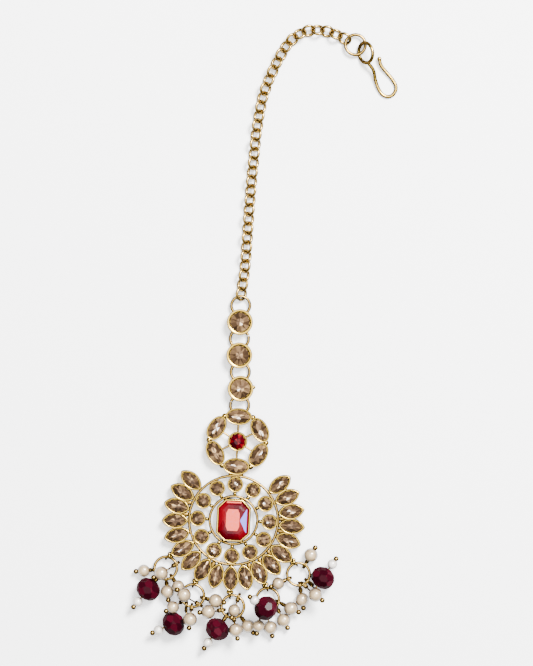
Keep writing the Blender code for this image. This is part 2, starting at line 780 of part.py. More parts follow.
def drop_balls(drop, loop_spot, bead_spot):
    """Balls that stand for a drop when it is laid beside the others: middle and radius."""
    half, radius = bead_size(drop["bead"])
    aim, bend = drop_way(drop, loop_spot, bead_spot)
    side = loop_frame(loop_spot, bend, aim)
    loop_radius = (PIN_LOOP_DIAMETER - PIN_WIRE) / 2
    balls = []
    for step in range(12):
        turn = 2.0 * math.pi * step / 12
        spot = side @ (Vector((math.cos(turn), math.sin(turn), 0.0)) * loop_radius)
        balls.append((spot, PIN_WIRE / 2))
    start = loop_spot + (bend - loop_spot).normalized() * loop_radius
    steps = max(2, int((bend - start).length / 0.3))
    for step in range(steps + 1):
        balls.append((start.lerp(bend, step / steps), PIN_WIRE / 2))
    balls.append((bead_spot, radius))
    ball_spot = drop_end(drop, aim, bead_spot)
    if drop["bead"] == "garnet":
        cap_spot = ball_spot - aim * (BALL_DIAMETER * 0.3 + CAP_PEARL_DIAMETER / 2)
        balls.append((cap_spot, CAP_PEARL_DIAMETER / 2))
    balls.append((ball_spot, BALL_DIAMETER / 2))
    return balls


def loop_frame(loop_spot, bend, aim):
    """Frame of an upright pin loop that faces the bend of its pin."""
    along = (bend - loop_spot).normalized()
    level = Vector((along.x, along.y, 0.0))
    if level.length < 0.1:
        level = aim.copy()
    across = level.normalized().cross(Vector((0.0, 0.0, 1.0)))
    return frame_of(loop_spot, along, across)


def is_clear(balls, laid):
    for spot, radius in balls:
        for other, other_radius in laid:
            if (spot - other).length < radius + other_radius + LAID_GAP:
                return False
    return True


def lay_bead(drop, centre, loop_spot, laid):
    """Bead spot: far enough for its pin, then as low as it can lie on what is already there.

    A bead outside its ring makes room for the pin by lying further out, one over the ring by
    lying higher.
    """
    half, radius = bead_size(drop["bead"])
    least = PIN_LOOP_DIAMETER / 2 + NECK_LEAST
    away = heading(drop["bearing"])
    spot = Vector((centre.x, centre.y, radius)) + away * drop["out"]
    up = Vector((0.0, 0.0, 1.0))
    over_ring = drop["out"] < DROP_RING_DIAMETER / 2
    while (drop_way(drop, loop_spot, spot)[1] - loop_spot).length < least:
        spot += (up if over_ring else away) * 0.05
    if drop["bead"] == "garnet" and not over_ring and "aim" not in drop:
        room = PIN_LOOP_DIAMETER / 2 + GAP - NECK_STUB
        aim, bend = drop_way(drop, loop_spot, spot)
        spot += away * max(0.0, room - (bend - loop_spot).dot(aim))
    while not is_clear(drop_balls(drop, loop_spot, spot), laid):
        spot += up * 0.1
        if spot.z > HEAP_HEIGHT:
            raise ValueError("no room for the %(bead)s at %(bearing)s on drop ring %(ring)s" % drop)
    return spot


def build_drop(name, drop, number, loop_spot, bead_spot):
    half, radius = bead_size(drop["bead"])
    aim, bend = drop_way(drop, loop_spot, bead_spot)
    across = aim.cross(Vector((0.0, 0.0, 1.0)))
    loop = hoop("loop", PIN_LOOP_DIAMETER, PIN_WIRE, 8, 5)
    pieces = [place(loop, loop_frame(loop_spot, bend, aim))]
    loop_radius = (PIN_LOOP_DIAMETER - PIN_WIRE) / 2
    lying = frame_of(bead_spot, across, aim)
    ball_spot = drop_end(drop, aim, bead_spot)
    if drop["bead"] == "garnet":
        hole = (GARNET_DIAMETER - GARNET_HOLE) / 2
        levels = [
            (hole, -half),
            (radius * 0.5, -half),
            (0.0, -half * 0.2),
            (0.0, half * 0.2),
            (radius * 0.5, half),
            (hole, half),
        ]
        bead = turned("garnet_bead_" + str(number), GARNET_DIAMETER, 10, levels, drilled=True)
        gem(place(bead, lying), GARNET)
        cap_spot = ball_spot - aim * (BALL_DIAMETER * 0.3 + CAP_PEARL_DIAMETER / 2)
        pieces.append(ball("cap_pearl", cap_spot, CAP_PEARL_DIAMETER, 10, 5))
    else:
        pearl = ball("pearl", Vector(), 2 * radius, 10, 5)
        pieces.append(place(pearl, lying))
    start = loop_spot + (bend - loop_spot).normalized() * (loop_radius - 0.05)
    if drop["bead"] == "garnet":
        pieces.append(rod("neck", start, bend, PIN_WIRE, 5))
        pieces.append(grain("bend", bend, PIN_WIRE * 1.25))
        pieces.append(rod("pin", bend, ball_spot, PIN_WIRE, 5))
    else:
        pieces.append(rod("neck", start, bend + aim * PIN_WIRE, PIN_WIRE, 5))
    pieces.append(grain("head", ball_spot, BALL_DIAMETER))
    body = fuse(name, pieces)
    smooth(body)
    finish(body, PEARL, 0.0, 0.3)


def build_drops():
    laid = {}
    radius = (DROP_RING_DIAMETER - RING_WIRE) / 2
    middles = {}
    for number, ring in DROP_RINGS.items():
        eye_spot = heading(petal_bearing(ring["petal"])) * DROP_EYE_REACH
        eye_spot.z = DROP_EYE_HEIGHT
        rise = math.radians(DROP_RING_RISE)
        along = heading(ring["hang"]) * math.cos(rise) + Vector((0.0, 0.0, math.sin(rise)))
        middle = frame_of(eye_spot + along * radius, along, Vector((0.0, 0.0, 1.0)))
        middles[number] = middle
        wire = []
        for step in range(40):
            wire.append((middle @ (heading(step * 9.0) * radius), RING_WIRE / 2))
        laid[number] = wire
        body = hoop("drop_ring_" + str(number), DROP_RING_DIAMETER, RING_WIRE, 14, 5)
        metal(place(body, middle))
    everything = [item for wire in laid.values() for item in wire]
    numbers = {"garnet": 0, "pearl": 0}
    for drop in DROPS:
        middle = middles[drop["ring"]]
        hang = DROP_RINGS[drop["ring"]]["hang"]
        loop_spot = middle @ (heading(drop["loop"] - hang) * radius)
        spot = lay_bead(drop, middle.translation, loop_spot, everything)
        everything += drop_balls(drop, loop_spot, spot)
        family = "garnet" if drop["bead"] == "garnet" else "pearl"
        numbers[family] += 1
        name = "garnet_pin_" if family == "garnet" else "pearl_drop_"
        build_drop(name + str(numbers[family]), drop, numbers[family], loop_spot, spot)


def main():
    build_pendant()
    build_stones()
    spot = upper_loop_centre()
    for number in (3, 2, 1):
        spot = build_ring("collet_ring_" + str(number), spot, LEANS["collet_ring_" + str(number)], spot.z)
        lean = LEANS["collet_" + str(number)]
        centre = Vector((spot.x, spot.y, 0.0)) + heading(90.0 - lean) * COLLET_LOOP_OFFSET
        build_collet(number, centre, lean)
        spot = spot + heading(90.0 - lean) * COLLET_LOOP_OFFSET * 2
    far_wire = build_ring("chain_ring", spot, LEANS["chain_ring"], chain_height())
    last_link, way = build_chain(far_wire)
    build_hook(last_link, way)
    build_drops()


for old in list(bpy.data.objects):
    bpy.data.objects.remove(old, do_unlink=True)
PARTS = bpy.data.collections.new("maang_tikka")
bpy.context.scene.collection.children.link(PARTS)
main()
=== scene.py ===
"""Maang tikka dressed for looks: settings, cut stones, wire rings, chain, hook and bead drops.

Every piece is modelled in millimetres where the frame has it, and scaled to metres when done.
"""
import math
import random

import bpy
import numpy as np
from mathutils import Matrix, Vector


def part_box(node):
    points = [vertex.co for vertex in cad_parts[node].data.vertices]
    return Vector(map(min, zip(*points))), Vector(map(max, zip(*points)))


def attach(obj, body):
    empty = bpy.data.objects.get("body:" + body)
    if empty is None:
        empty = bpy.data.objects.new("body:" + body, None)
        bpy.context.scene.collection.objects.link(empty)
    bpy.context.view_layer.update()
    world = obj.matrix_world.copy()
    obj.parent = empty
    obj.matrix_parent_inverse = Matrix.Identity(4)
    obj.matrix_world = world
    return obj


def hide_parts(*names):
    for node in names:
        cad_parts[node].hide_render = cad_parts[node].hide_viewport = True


bl_info = {
    "name": "Maang tikka",
    "version": (1, 0, 0),
    "blender": (4, 5, 0),
    "location": "View3D > Sidebar > Maang tikka",
    "description": "Builds a maang tikka with stone medallions, a rolo chain and bead drops",
    "category": "Add Mesh",
}

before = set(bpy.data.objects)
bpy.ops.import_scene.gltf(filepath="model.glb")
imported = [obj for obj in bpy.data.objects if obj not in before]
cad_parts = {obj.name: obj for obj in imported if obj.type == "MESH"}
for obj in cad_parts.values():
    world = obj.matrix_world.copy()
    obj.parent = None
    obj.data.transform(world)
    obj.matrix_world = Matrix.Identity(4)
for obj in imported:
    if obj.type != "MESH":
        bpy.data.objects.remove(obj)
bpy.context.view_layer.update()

MM = 0.001
UP = Vector((0.0, 0.0, 1.0))

# Radius at which settings and stones are made before they are bent to their outlines
NOMINAL = 10.0

# Wires, as in the frame
RING_WIRE = 0.8
EYE_WIRE = 0.5
CHAIN_WIRE = 0.82
HOOK_WIRE = 0.96
HOOK_RING_WIRE = 0.86
PIN_WIRE = 0.45
SPOKE_WIRE = 0.6
SPOKE_BITE = 0.2
GAP = 0.12
LAID_GAP = 0.07
BITE = 0.08
EYE_DIAMETER = RING_WIRE + 2 * GAP + 2 * EYE_WIRE

# Settings
CUP_BASE = 1.55
CUP_RIM = 3.35
MID_HEIGHT = (CUP_BASE + CUP_RIM) / 2
CENTRE_WIDTH = 9.2
CENTRE_LENGTH = 11.5
CENTRE_CORNER = 2.3
CENTRE_RIM = 3.9
INNER_RING_DIAMETER = 13.7
OUTER_RING_DIAMETER = 24.8
HALO_COUNT = 12
HALO_RADIUS = 9.7
HALO_DIAMETER = 4.4
PETAL_COUNT = 19
PETAL_STEP = 14.5
PETAL_RADIUS = 15.75
PETAL_LENGTH = 7.3
PETAL_WIDTH = 4.35
WEBBED_GAPS = (-7.5, -6.5, -1.5, 1.5, 2.5, 3.5, 5.5, 6.5)
UPPER_OFFSET = 21.3
UPPER_COUNT = 6
UPPER_RADIUS = 6.75
OVAL_LENGTH = 7.2
OVAL_WIDTH = 4.65
ROUND_DIAMETER = 5.35
UPPER_LOOP_OFFSET = 7.3
COLLET_DIAMETER = 7.0
COLLET_RIM = 3.6
COLLET_LOOP_OFFSET = 2.0
COLLET_LIP_EXTRA = 0.3
LOOP_HEIGHT = 1.02
LINK_RING_DIAMETER = 5.8
GRAIN_DIAMETER = 1.1
WEB_LENGTH = 3.0
WEB_SHAPE = (1.0, 0.45, 0.2, 1.0)
WEB_REACH = 0.9
WEB_HEIGHT = 2.0

# Solder grains at the tip of a petal that carries an eye: outward, sideways and up
TIP_GRAINS = [(0.1, -0.45, 2.0), (0.1, 0.45, 2.0), (0.45, 0.0, 2.4)]

# Stones: how far one laps under its lip, and how far its edge is sunk below the rim
STONE_LAP = 0.02
STONE_SUNK = 0.5
STONE_EDGE = 0.6

# Cuts on the centre stone, each through a point and facing a bearing, that bound its painted reflections: a
# pink barrel on its table and a lavender wedge at its right
BARREL_REFLECTION = [
    (1.6, 0.2, 0.0), (-2.0, 0.2, 180.0), (-0.2, 3.05, 90.0), (-0.2, -2.75, -90.0),
    (1.3, 2.6, 24.0), (1.3, -2.3, -24.0), (-1.7, 2.6, 156.0), (-1.7, -2.3, 204.0),
]
WEDGE_REFLECTION = [(1.75, 0.1, 152.0), (1.75, 0.1, 207.0)]

# Chain and hook
LINK_DIAMETER = 4.1
LINK_ROLL = 45.0
CHAIN_LENGTH = 90.5
HOOK_RING_DIAMETER = 6.3
HOOK_EYE_DIAMETER = 6.4
HOOK_EYE_TILT = 50.0
HOOK_EYE_BEARING = -36.5
HOOK_EYE_NEARNESS = 0.654
CHAIN_ROUTE = [
    (-0.3, 69.7), (0.0, 84.7), (0.5, 97.3), (1.1, 107.1), (2.7, 116.8), (6.8, 127.0),
    (10.4, 131.6), (14.6, 133.4), (19.3, 133.1), (23.3, 131.6), (27.9, 128.9),
]
HOOK_ROUTE = [
    (1.6, -1.9, 1.4), (2.4, -4.6, 0.5), (3.4, -6.9, 0.1), (4.7, -8.4, 0.0),
    (6.3, -8.7, 0.0), (7.7, -7.6, 0.0), (8.0, -6.1, 0.0), (7.1, -4.3, 0.1),
    (5.2, -2.2, 0.3), (3.6, -0.3, 0.6), (3.1, 1.3, 0.8),
]

# Drops: where each bead lies from the middle of its ring, and its pin loop on the ring
DROP_EYE_REACH = 20.5
DROP_RING_DIAMETER = 6.9
DROP_RING_RISE = 10.0
DROP_EYE_HEIGHT = 1.3
PIN_LOOP_DIAMETER = 2.3
NECK_LEAST = 0.1
NECK_STUB = 0.4
PEARL_DIAMETER = 3.8
LESSER_PEARL_DIAMETER = 3.4
CAP_PEARL_DIAMETER = 2.7
BALL_DIAMETER = 1.4
GARNET_DIAMETER = 6.8
GARNET_LENGTH = 6.0
HEAP_HEIGHT = 12.0
LEANS = {"collet_3": -1.0, "collet_2": -5.0, "collet_1": -1.0}
DROP_RINGS = {
    1: {"petal": -4, "hang": -95.0},
    2: {"petal": -2, "hang": -91.0},
    3: {"petal": 0, "hang": -71.0},
    4: {"petal": 2, "hang": -83.0},
    5: {"petal": 4, "hang": -73.0},
}


def hung(ring, kind, out, bearing, loop, **pin):
    """One drop: its ring, its bead and where that lies, and the place of its loop on the ring."""
    return {"ring": ring, "bead": kind, "out": out, "bearing": bearing, "loop": loop, **pin}


DROPS = [
    hung(1, "garnet", 7.2, -127.0, -127.0),
    hung(1, "lesser", 6.0, -170.0, -168.0),
    hung(1, "pearl", 6.4, -83.0, -85.0),
    hung(1, "lesser", 4.4, -52.0, -52.0),
    hung(1, "pearl", 1.6, -132.0, 25.0),
    hung(2, "garnet", 9.0, -122.0, -120.0, aim=-153.0),
    hung(2, "pearl", 6.3, -9.0, -9.0),
    hung(2, "lesser", 5.7, -149.0, -150.0),
    hung(2, "pearl", 5.4, -93.0, -92.0),
    hung(2, "pearl", 2.3, 169.0, -50.0),
    hung(3, "garnet", 7.1, -122.0, -122.0),
    hung(3, "pearl", 6.7, -49.0, -49.0),
    hung(3, "pearl", 5.3, -79.0, -82.0),
    hung(3, "pearl", 6.7, -167.0, -160.0),
    hung(3, "lesser", 0.9, -60.0, 62.0),
    hung(4, "pearl", 7.7, -82.0, -96.0),
    hung(4, "pearl", 7.1, -50.0, -38.0),
    hung(4, "lesser", 7.4, -107.0, -119.0),
    hung(4, "pearl", 6.7, -18.0, -12.0),
    hung(4, "garnet", 2.0, -102.0, -60.0, aim=145.0, rise=30.0),
    hung(5, "garnet", 6.6, -4.0, -34.0, aim=58.0),
    hung(5, "lesser", 5.8, -153.0, -153.0),
    hung(5, "pearl", 5.7, 60.0, 58.0),
    hung(5, "pearl", 6.9, -79.0, -81.0),
    hung(5, "pearl", 6.9, -46.0, -60.0),
]
WRAP_COUNT = 3
WRAP_PITCH = 0.36
BALL_LAP = 0.3

# Planes that cut a dark bead: tilt of each round and how many it has
BEAD_PLANES = [(0.0, 8), (33.0, 8), (-33.0, 8), (62.0, 6), (-62.0, 6), (90.0, 1), (-90.0, 1)]
BEAD_DEPTH = 0.93

# Stage, in metres and watts
CAMERA_PLACE = (0.00634, 0.05096, 0.802)
CAMERA_TURN = 2.9
PIECE_MIDDLE = Vector((0.0, 0.05, 0.0))
ROOM_LIGHT = 0.15
LIGHTS = {
    "key_light": {"place": Vector((0.26, 0.42, 0.66)), "size": 0.26, "power": 36.0},
    "top_light": {"place": Vector((0.0, 0.05, 1.3)), "size": 1.2, "power": 30.0},
}


# Colours and materials

def linear(code):
    """Linear colour of an sRGB hex code."""
    parts = [int(code[start:start + 2], 16) / 255 for start in (1, 3, 5)]
    return tuple(part / 12.92 if part <= 0.04045 else ((part + 0.055) / 1.055) ** 2.4 for part in parts)


def feed(tree, node, **inputs):
    """Links or sets a node's inputs, each called by its name or, as in _0, by its number."""
    for name, value in inputs.items():
        socket = node.inputs[int(name[1:])] if name[1:].isdigit() else node.inputs[name.replace("_", " ")]
        if isinstance(value, bpy.types.NodeSocket):
            tree.links.new(value, socket)
        else:
            socket.default_value = value
    return node


def add_node(tree, kind, settings=None, **inputs):
    """Node of a kind with its settings, and its inputs linked or set."""
    node = tree.nodes.new(kind)
    for name, value in (settings or {}).items():
        setattr(node, name, value)
    return feed(tree, node, **inputs)


def new_material(name):
    """Empty procedural material: its tree and its shader."""
    material = bpy.data.materials.new(name)
    material.use_nodes = True
    tree = material.node_tree
    return material, tree, tree.nodes["Principled BSDF"]


def ramp(tree, factor, stops):
    """Colour ramp through (position, colour) stops."""
    node = add_node(tree, "ShaderNodeValToRGB", None, Fac=factor)
    elements = node.color_ramp.elements
    while len(elements) < len(stops):
        elements.new(0.5)
    for element, (position, colour) in zip(elements, stops):
        element.position = position
        element.color = (*colour[:3], 1.0)
    return node.outputs["Color"]


def blotches(tree, size, detail=2.0):
    """Noise whose blotches are about a size in millimetres."""
    spot = add_node(tree, "ShaderNodeTexCoord").outputs["Object"]
    node = add_node(tree, "ShaderNodeTexNoise", None, Vector=spot, Scale=1.0 / (size * MM), Detail=detail)
    return node.outputs["Fac"]


def marked(tree, name):
    """Value that a mesh carries for its corners or facets."""
    return add_node(tree, "ShaderNodeAttribute", {"attribute_name": name}).outputs["Fac"]


def uneven(tree, value, strength, patches):
    """A value raised and lowered by soft blotches."""
    centred = add_node(tree, "ShaderNodeMath", {"operation": "SUBTRACT"}, _0=patches, _1=0.5).outputs[0]
    operation = {"operation": "MULTIPLY_ADD"}
    return add_node(tree, "ShaderNodeMath", operation, _0=centred, _1=strength, _2=value).outputs[0]


def antique_brass(name, bright, mid, dark, roughness, reach):
    """Gold-plated brass, dipped dark and rubbed back, with light and shade painted in by how level each
    place lies: level places are painted bright and shine, and steep ones are painted dark and dull, part
    oxide and part painted shade.
    """
    material, tree, shader = new_material(name)
    # How level a place lies, with soft blotches: it paints light on level places and shade on steep ones
    wiped_and_lit = uneven(tree, marked(tree, "level"), 0.25, blotches(tree, 0.9))
    bare_and_lit = add_node(tree, "ShaderNodeMapRange", None, Value=wiped_and_lit, From_Min=reach[0], From_Max=reach[1])
    fine = blotches(tree, 0.5, 4.0)
    grain = add_node(tree, "ShaderNodeBump", None, Strength=0.25, Distance=0.00008, Height=fine)
    feed(
        tree, shader, Base_Color=ramp(tree, wiped_and_lit, list(zip(reach, (dark, mid, bright)))),
        Metallic=bare_and_lit.outputs["Result"], Specular_IOR_Level=0.0, Roughness=roughness,
        Normal=grain.outputs["Normal"],
    )
    return material


def foiled_glass(name, stops, metallic, roughness, cloudy):
    """Cut glass with a foil back: each facet's colour carries a painted reflection of the foil's light, at
    its own strength.
    """
    material, tree, shader = new_material(name)
    mixed = uneven(tree, marked(tree, "glint"), cloudy, blotches(tree, 0.7, 3.0))
    feed(
        tree, shader, Base_Color=ramp(tree, mixed, stops), Metallic=metallic, Roughness=roughness,
        IOR=1.52, Specular_IOR_Level=0.1,
    )
    return material


def pearl_lacquer(name, light, deep):
    """Moulded resin pearl under pearl lacquer: painted light on top and painted brown shade round its
    sides, by how level each place lies.
    """
    material, tree, shader = new_material(name)
    # How level the pearl lies, with soft blotches: painted light on top, painted shade round the sides
    mixed = uneven(tree, marked(tree, "level"), 0.5, blotches(tree, 1.4))
    feed(
        tree, shader, Base_Color=ramp(tree, mixed, [(0.4, deep), (1.0, light)]), Roughness=0.28,
        IOR=1.53, Specular_IOR_Level=0.8, Coat_Weight=0.6, Coat_Roughness=0.16,
    )
    return material


def garnet_glass(name, dark, light):
    """Pressed dark red glass in flat facets: most are deep, and a few carry a painted violet reflection."""
    material, tree, shader = new_material(name)
    stops = [(0.0, dark), (0.8, light), (0.95, linear("#43365e"))]
    feed(
        tree, shader, Base_Color=ramp(tree, marked(tree, "glint"), stops), Roughness=0.3,
        IOR=1.6, Specular_IOR_Level=0.0, Coat_Weight=0.06, Coat_Roughness=0.1,
    )
    return material


def matt_floor(name, colour):
    """Plain matt board, lit through from below so that it stays pale to its edges."""
    material, tree, shader = new_material(name)
    feed(
        tree, shader, Base_Color=(*colour, 1.0), Emission_Color=(1.0, 1.0, 1.0, 1.0),
        Emission_Strength=0.8, Roughness=0.95, Specular_IOR_Level=0.0,
    )
    return material


# Directions and outlines

def heading(degrees):
    """Level unit vector at a bearing counter-clockwise from +X."""
    turn = math.radians(degrees)
    return Vector((math.cos(turn), math.sin(turn), 0.0))


def spin(degrees):
    return Matrix.Rotation(math.radians(degrees), 4, "Z")


def shift(spot):
    return Matrix.Translation(spot)


def frame_of(centre, along, normal):
    """Matrix whose X runs along a direction and whose Z is as near to a normal as it can be."""
    x_axis = along.normalized()
    z_axis = (normal - x_axis * normal.dot(x_axis)).normalized()
    y_axis = z_axis.cross(x_axis)
    turn = Matrix((x_axis, y_axis, z_axis)).transposed()
    return shift(centre) @ turn.to_4x4()


def petal_bearing(index):
    return -90.0 + index * PETAL_STEP


def petal_places():
    """Place of every petal, its tip outward."""
    bearings = [petal_bearing(count - PETAL_COUNT // 2) for count in range(PETAL_COUNT)]
    return [shift(heading(bearing) * PETAL_RADIUS) @ spin(bearing) for bearing in bearings]


def round_places(count, radius, middle=Vector()):
    """Bearing and spot of each place in an even round that starts at the top."""
    bearings = [90.0 + index * 360.0 / count for index in range(count)]
    return [(bearing, middle + heading(bearing) * radius) for bearing in bearings]


def long_outline(length, width, end_wall=1.0, point=0.0):
    """Oval along X, or a leaf where its ends are pointed and have a thicker wall."""
    def outline(inset, turn):
        across = math.sin(turn)
        return (
            (length / 2 - inset * end_wall) * math.cos(turn),
            (width / 2 - inset) * across * abs(across) ** point,
        )
    return outline


HALO_OUTLINE = long_outline(HALO_DIAMETER, HALO_DIAMETER)
ROUND_OUTLINE = long_outline(ROUND_DIAMETER, ROUND_DIAMETER)
COLLET_OUTLINE = long_outline(COLLET_DIAMETER, COLLET_DIAMETER)
OVAL_OUTLINE = long_outline(OVAL_LENGTH, OVAL_WIDTH)
PETAL_OUTLINE = long_outline(PETAL_LENGTH, PETAL_WIDTH, end_wall=1.4, point=0.45)


# Modelling, as by hand

def deselect():
    if bpy.context.object and bpy.context.object.mode != "OBJECT":
        bpy.ops.object.mode_set(mode="OBJECT")
    bpy.ops.object.select_all(action="DESELECT")


def pick(*bodies):
    """Selects just these bodies and makes the first one active."""
    deselect()
    for body in bodies:
        body.select_set(True)
    bpy.context.view_layer.objects.active = bodies[0]


def select_all():
    bpy.ops.mesh.select_all(action="SELECT")


def added(name):
    """Names the object that was just added."""
    body = bpy.context.active_object
    body.name = name
    return body


def edit(body):
    """Opens a body in edit mode with all of it selected."""
    pick(body)
    bpy.ops.object.mode_set(mode="EDIT")
    bpy.ops.mesh.select_mode(type="VERT")
    select_all()


def close_edit(merge=True):
    """Merges doubled points, faces the mesh outward and leaves edit mode."""
    select_all()
    if merge:
        bpy.ops.mesh.remove_doubles(threshold=0.0002)
    bpy.ops.mesh.normals_make_consistent(inside=False)
    bpy.ops.object.mode_set(mode="OBJECT")


def pick_faces(body, test):
    """In edit mode, selects just the faces whose middle passes a test."""
    bpy.ops.mesh.select_all(action="DESELECT")
    bpy.ops.object.mode_set(mode="OBJECT")
    for face in body.data.polygons:
        face.select = test(face)
    bpy.ops.object.mode_set(mode="EDIT")
    bpy.ops.mesh.select_mode(type="FACE")


def copy_of(body, matrix):
    """Copy with its own mesh, moved."""
    twin = body.copy()
    twin.data = body.data.copy()
    bpy.context.scene.collection.objects.link(twin)
    twin.data.transform(matrix)
    return twin


def discard(*bodies):
    for body in bodies:
        bpy.data.objects.remove(body, do_unlink=True)


def join(name, bodies):
    """One object from several; materials keep their faces."""
    pick(*bodies)
    if len(bodies) > 1:
        bpy.ops.object.join()
    bodies[0].name = name
    return bodies[0]


def dress(body, material):
    body.data.materials.clear()
    body.data.materials.append(material)
    return body


def round_off(body, degrees):
    """Smooth shading below an angle."""
    pick(body)
    bpy.ops.object.shade_smooth_by_angle(angle=math.radians(degrees))


def turned(name, profile, steps):
    """Profile of (radius, height) points, drawn point by point and spun round Z."""
    deselect()
    bpy.ops.mesh.primitive_plane_add(size=1.0)
    body = added(name)
    edit(body)
    bpy.ops.mesh.merge(type="CENTER")
    bpy.ops.transform.translate(value=(profile[0][0], 0.0, profile[0][1]))
    for before, after in zip(profile, profile[1:]):
        step = (after[0] - before[0], 0.0, after[1] - before[1])
        bpy.ops.mesh.extrude_vertices_move(TRANSFORM_OT_translate={"value": step})
    select_all()
    bpy.ops.mesh.spin(steps=steps, angle=2 * math.pi, center=(0, 0, 0), axis=(0, 0, 1))
    close_edit()
    return body


def wire_ring(name, diameter, wire, seam, segments, sides):
    """Round wire bent into a ring whose ends meet with a small seam."""
    deselect()
    radius = (diameter - wire) / 2
    bpy.ops.mesh.primitive_circle_add(
        vertices=sides, radius=wire / 2, location=(radius, 0, 0), rotation=(math.pi / 2, 0, 0),
    )
    bpy.ops.object.transform_apply(location=True, rotation=True, scale=True)
    body = added(name)
    edit(body)
    bpy.ops.mesh.spin(
        steps=segments, angle=2 * math.pi - seam / radius, center=(0, 0, 0), axis=(0, 0, 1),
    )
    select_all()
    bpy.ops.mesh.fill_holes(sides=0)
    close_edit(merge=seam == 0.0)
    round_off(body, 50)
    return body


def wire_run(name, points, diameter, sides=10, steps=6):
    """Round wire along a smooth run through points, closed at its ends."""
    curve = bpy.data.curves.new(name, "CURVE")
    curve.dimensions = "3D"
    curve.bevel_depth = diameter / 2
    curve.bevel_resolution = max(1, sides // 2 - 1)
    curve.resolution_u = steps
    curve.use_fill_caps = True
    spline = curve.splines.new("BEZIER")
    spline.bezier_points.add(len(points) - 1)
    for point, spot in zip(spline.bezier_points, points):
        point.co = spot
        point.handle_left_type = "AUTO"
        point.handle_right_type = "AUTO"
    body = bpy.data.objects.new(name, curve)
    bpy.context.scene.collection.objects.link(body)
    pick(body)
    bpy.ops.object.convert(target="MESH")
    body = bpy.context.active_object
    edit(body)
    close_edit()
    round_off(body, 50)
    return body


def bead(name, diameter, segments, rows):
    """Round bead with its two poles along Z."""
    deselect()
    bpy.ops.mesh.primitive_uv_sphere_add(segments=segments, ring_count=rows, radius=diameter / 2)
    body = added(name)
    round_off(body, 60)
    return body


def reshape(body, outline):
    """Bends a shape turned at the nominal radius to an outline, keeping every wall's width."""
    for point in body.data.vertices:
        radius = math.hypot(point.co.x, point.co.y)
        if radius > 1.0:
            turn = math.atan2(point.co.y, point.co.x)
            point.co.x, point.co.y = outline(NOMINAL - radius, turn)
    return body


def setting(name, outline, rim, lip, steps):
    """Open cup whose lip rises to a narrow crest, with a seat under the stone."""
    levels = [
        (0.05, CUP_BASE),
        (0.0, rim - 0.9),
        (0.03, rim - 0.4),
        (0.09, rim - 0.12),
        (0.17, rim - 0.01),
        (lip - 0.2, rim),
        (lip - 0.1, rim - 0.1),
        (lip - 0.02, rim - 0.35),
        (lip, rim - 0.9),
    ]
    profile = [(NOMINAL - inset, height) for inset, height in levels]
    body = turned(name, [(0.0, CUP_BASE), *profile, (0.0, rim - 0.9)], steps)
    reshape(body, outline)
    round_off(body, 50)
    return body


def cut_stone(name, outline, sides, inset, crown, edge_height, rise):
    """Stone with a thin edge, a crown of three-cornered facets and a flat table cut in a fan."""
    deselect()
    bpy.ops.mesh.primitive_circle_add(
        vertices=sides, radius=NOMINAL - inset, fill_type="NGON", location=(0, 0, edge_height - STONE_EDGE),
    )
    bpy.ops.object.transform_apply(location=True, rotation=True, scale=True)
    body = added(name)
    edit(body)
    bpy.ops.mesh.extrude_region_move(TRANSFORM_OT_translate={"value": (0, 0, STONE_EDGE)})
    bpy.ops.mesh.inset(thickness=crown, depth=rise)
    top = (0.0, 0.0, edge_height + rise)
    bpy.ops.transform.rotate(value=math.pi / sides, orient_axis="Z", center_override=top)
    bpy.ops.mesh.poke(offset=0.0)
    pick_faces(body, lambda face: face.center.z > edge_height and len(face.vertices) == 4)
    bpy.ops.mesh.quads_convert_to_tris(quad_method="SHORTEST_DIAGONAL")
    close_edit(merge=False)
    return reshape(body, outline)


def eight_sided(name, width, length, corner, base, height, steps):
    """Plate with its corners cut off, drawn up and stepped by insets of a thickness and a depth."""
    deselect()
    bpy.ops.mesh.primitive_plane_add(size=1.0)
    body = added(name)
    body.data.transform(shift((0, 0, base)) @ Matrix.Diagonal((width, length, 1.0, 1.0)))
    edit(body)
    bpy.ops.mesh.bevel(offset=corner, affect="VERTICES")
    select_all()
    bpy.ops.mesh.extrude_region_move(TRANSFORM_OT_translate={"value": (0, 0, height)})
    for thickness, depth in steps:
        bpy.ops.mesh.inset(thickness=thickness, depth=depth)
    return body


def mark_level(body):
    """Writes how level each corner of a piece lies, which the colour follows: painted light where level and
    painted shade where steep, along with the wipe and the oxide on the metal.
    """
    mesh = body.data
    normals = np.empty(len(mesh.loops) * 3, dtype=np.float32)
    mesh.corner_normals.foreach_get("vector", normals)
    layer = mesh.attributes.new("level", "FLOAT", "CORNER")
    layer.data.foreach_set("value", np.abs(normals.reshape(-1, 3)[:, 2]))


def mark_glints(body, seed, dull=2.2):
    """Writes the painted reflection that each facet's colour carries: most are dull, a few of the table's
    bright, and the sloped facets' held weaker.
    """
    chance = random.Random(seed)
    layer = body.data.attributes.new("glint", "FLOAT", "FACE")
    for face, value in zip(body.data.polygons, layer.data):
        value.value = chance.random() ** dull * (1.0 if face.normal.z > 0.98 else 0.7)
    return body


def settle(body, slot, *nodes):
    """Scales a finished piece to metres and ties it to the frame."""
    body.data.transform(Matrix.Scale(MM, 4))
    body.data.name = body.name
    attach(body, "root")
    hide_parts(*nodes)


def complete(name, bodies, slot, node):
    """Joins the dressed bodies of a piece, marks how level it lies and settles it."""
    body = join(name, bodies)
    mark_level(body)
    settle(body, slot, node)


def node_points(name):
    """Distinct points of a CAD node in millimetres."""
    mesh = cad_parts[name].data
    flat = np.empty(len(mesh.vertices) * 3, dtype=np.float32)
    mesh.vertices.foreach_get("co", flat)
    return np.unique((flat.reshape(-1, 3) / MM).round(3), axis=0)


def ring_pose(name):
    """Middle of a ring's node and the way that it faces, upward."""
    points = node_points(name)
    middle = points.mean(axis=0)
    facing = Vector(np.linalg.svd(points - middle, full_matrices=False)[2][2])
    return Vector(middle), facing if facing.z > 0 else -facing


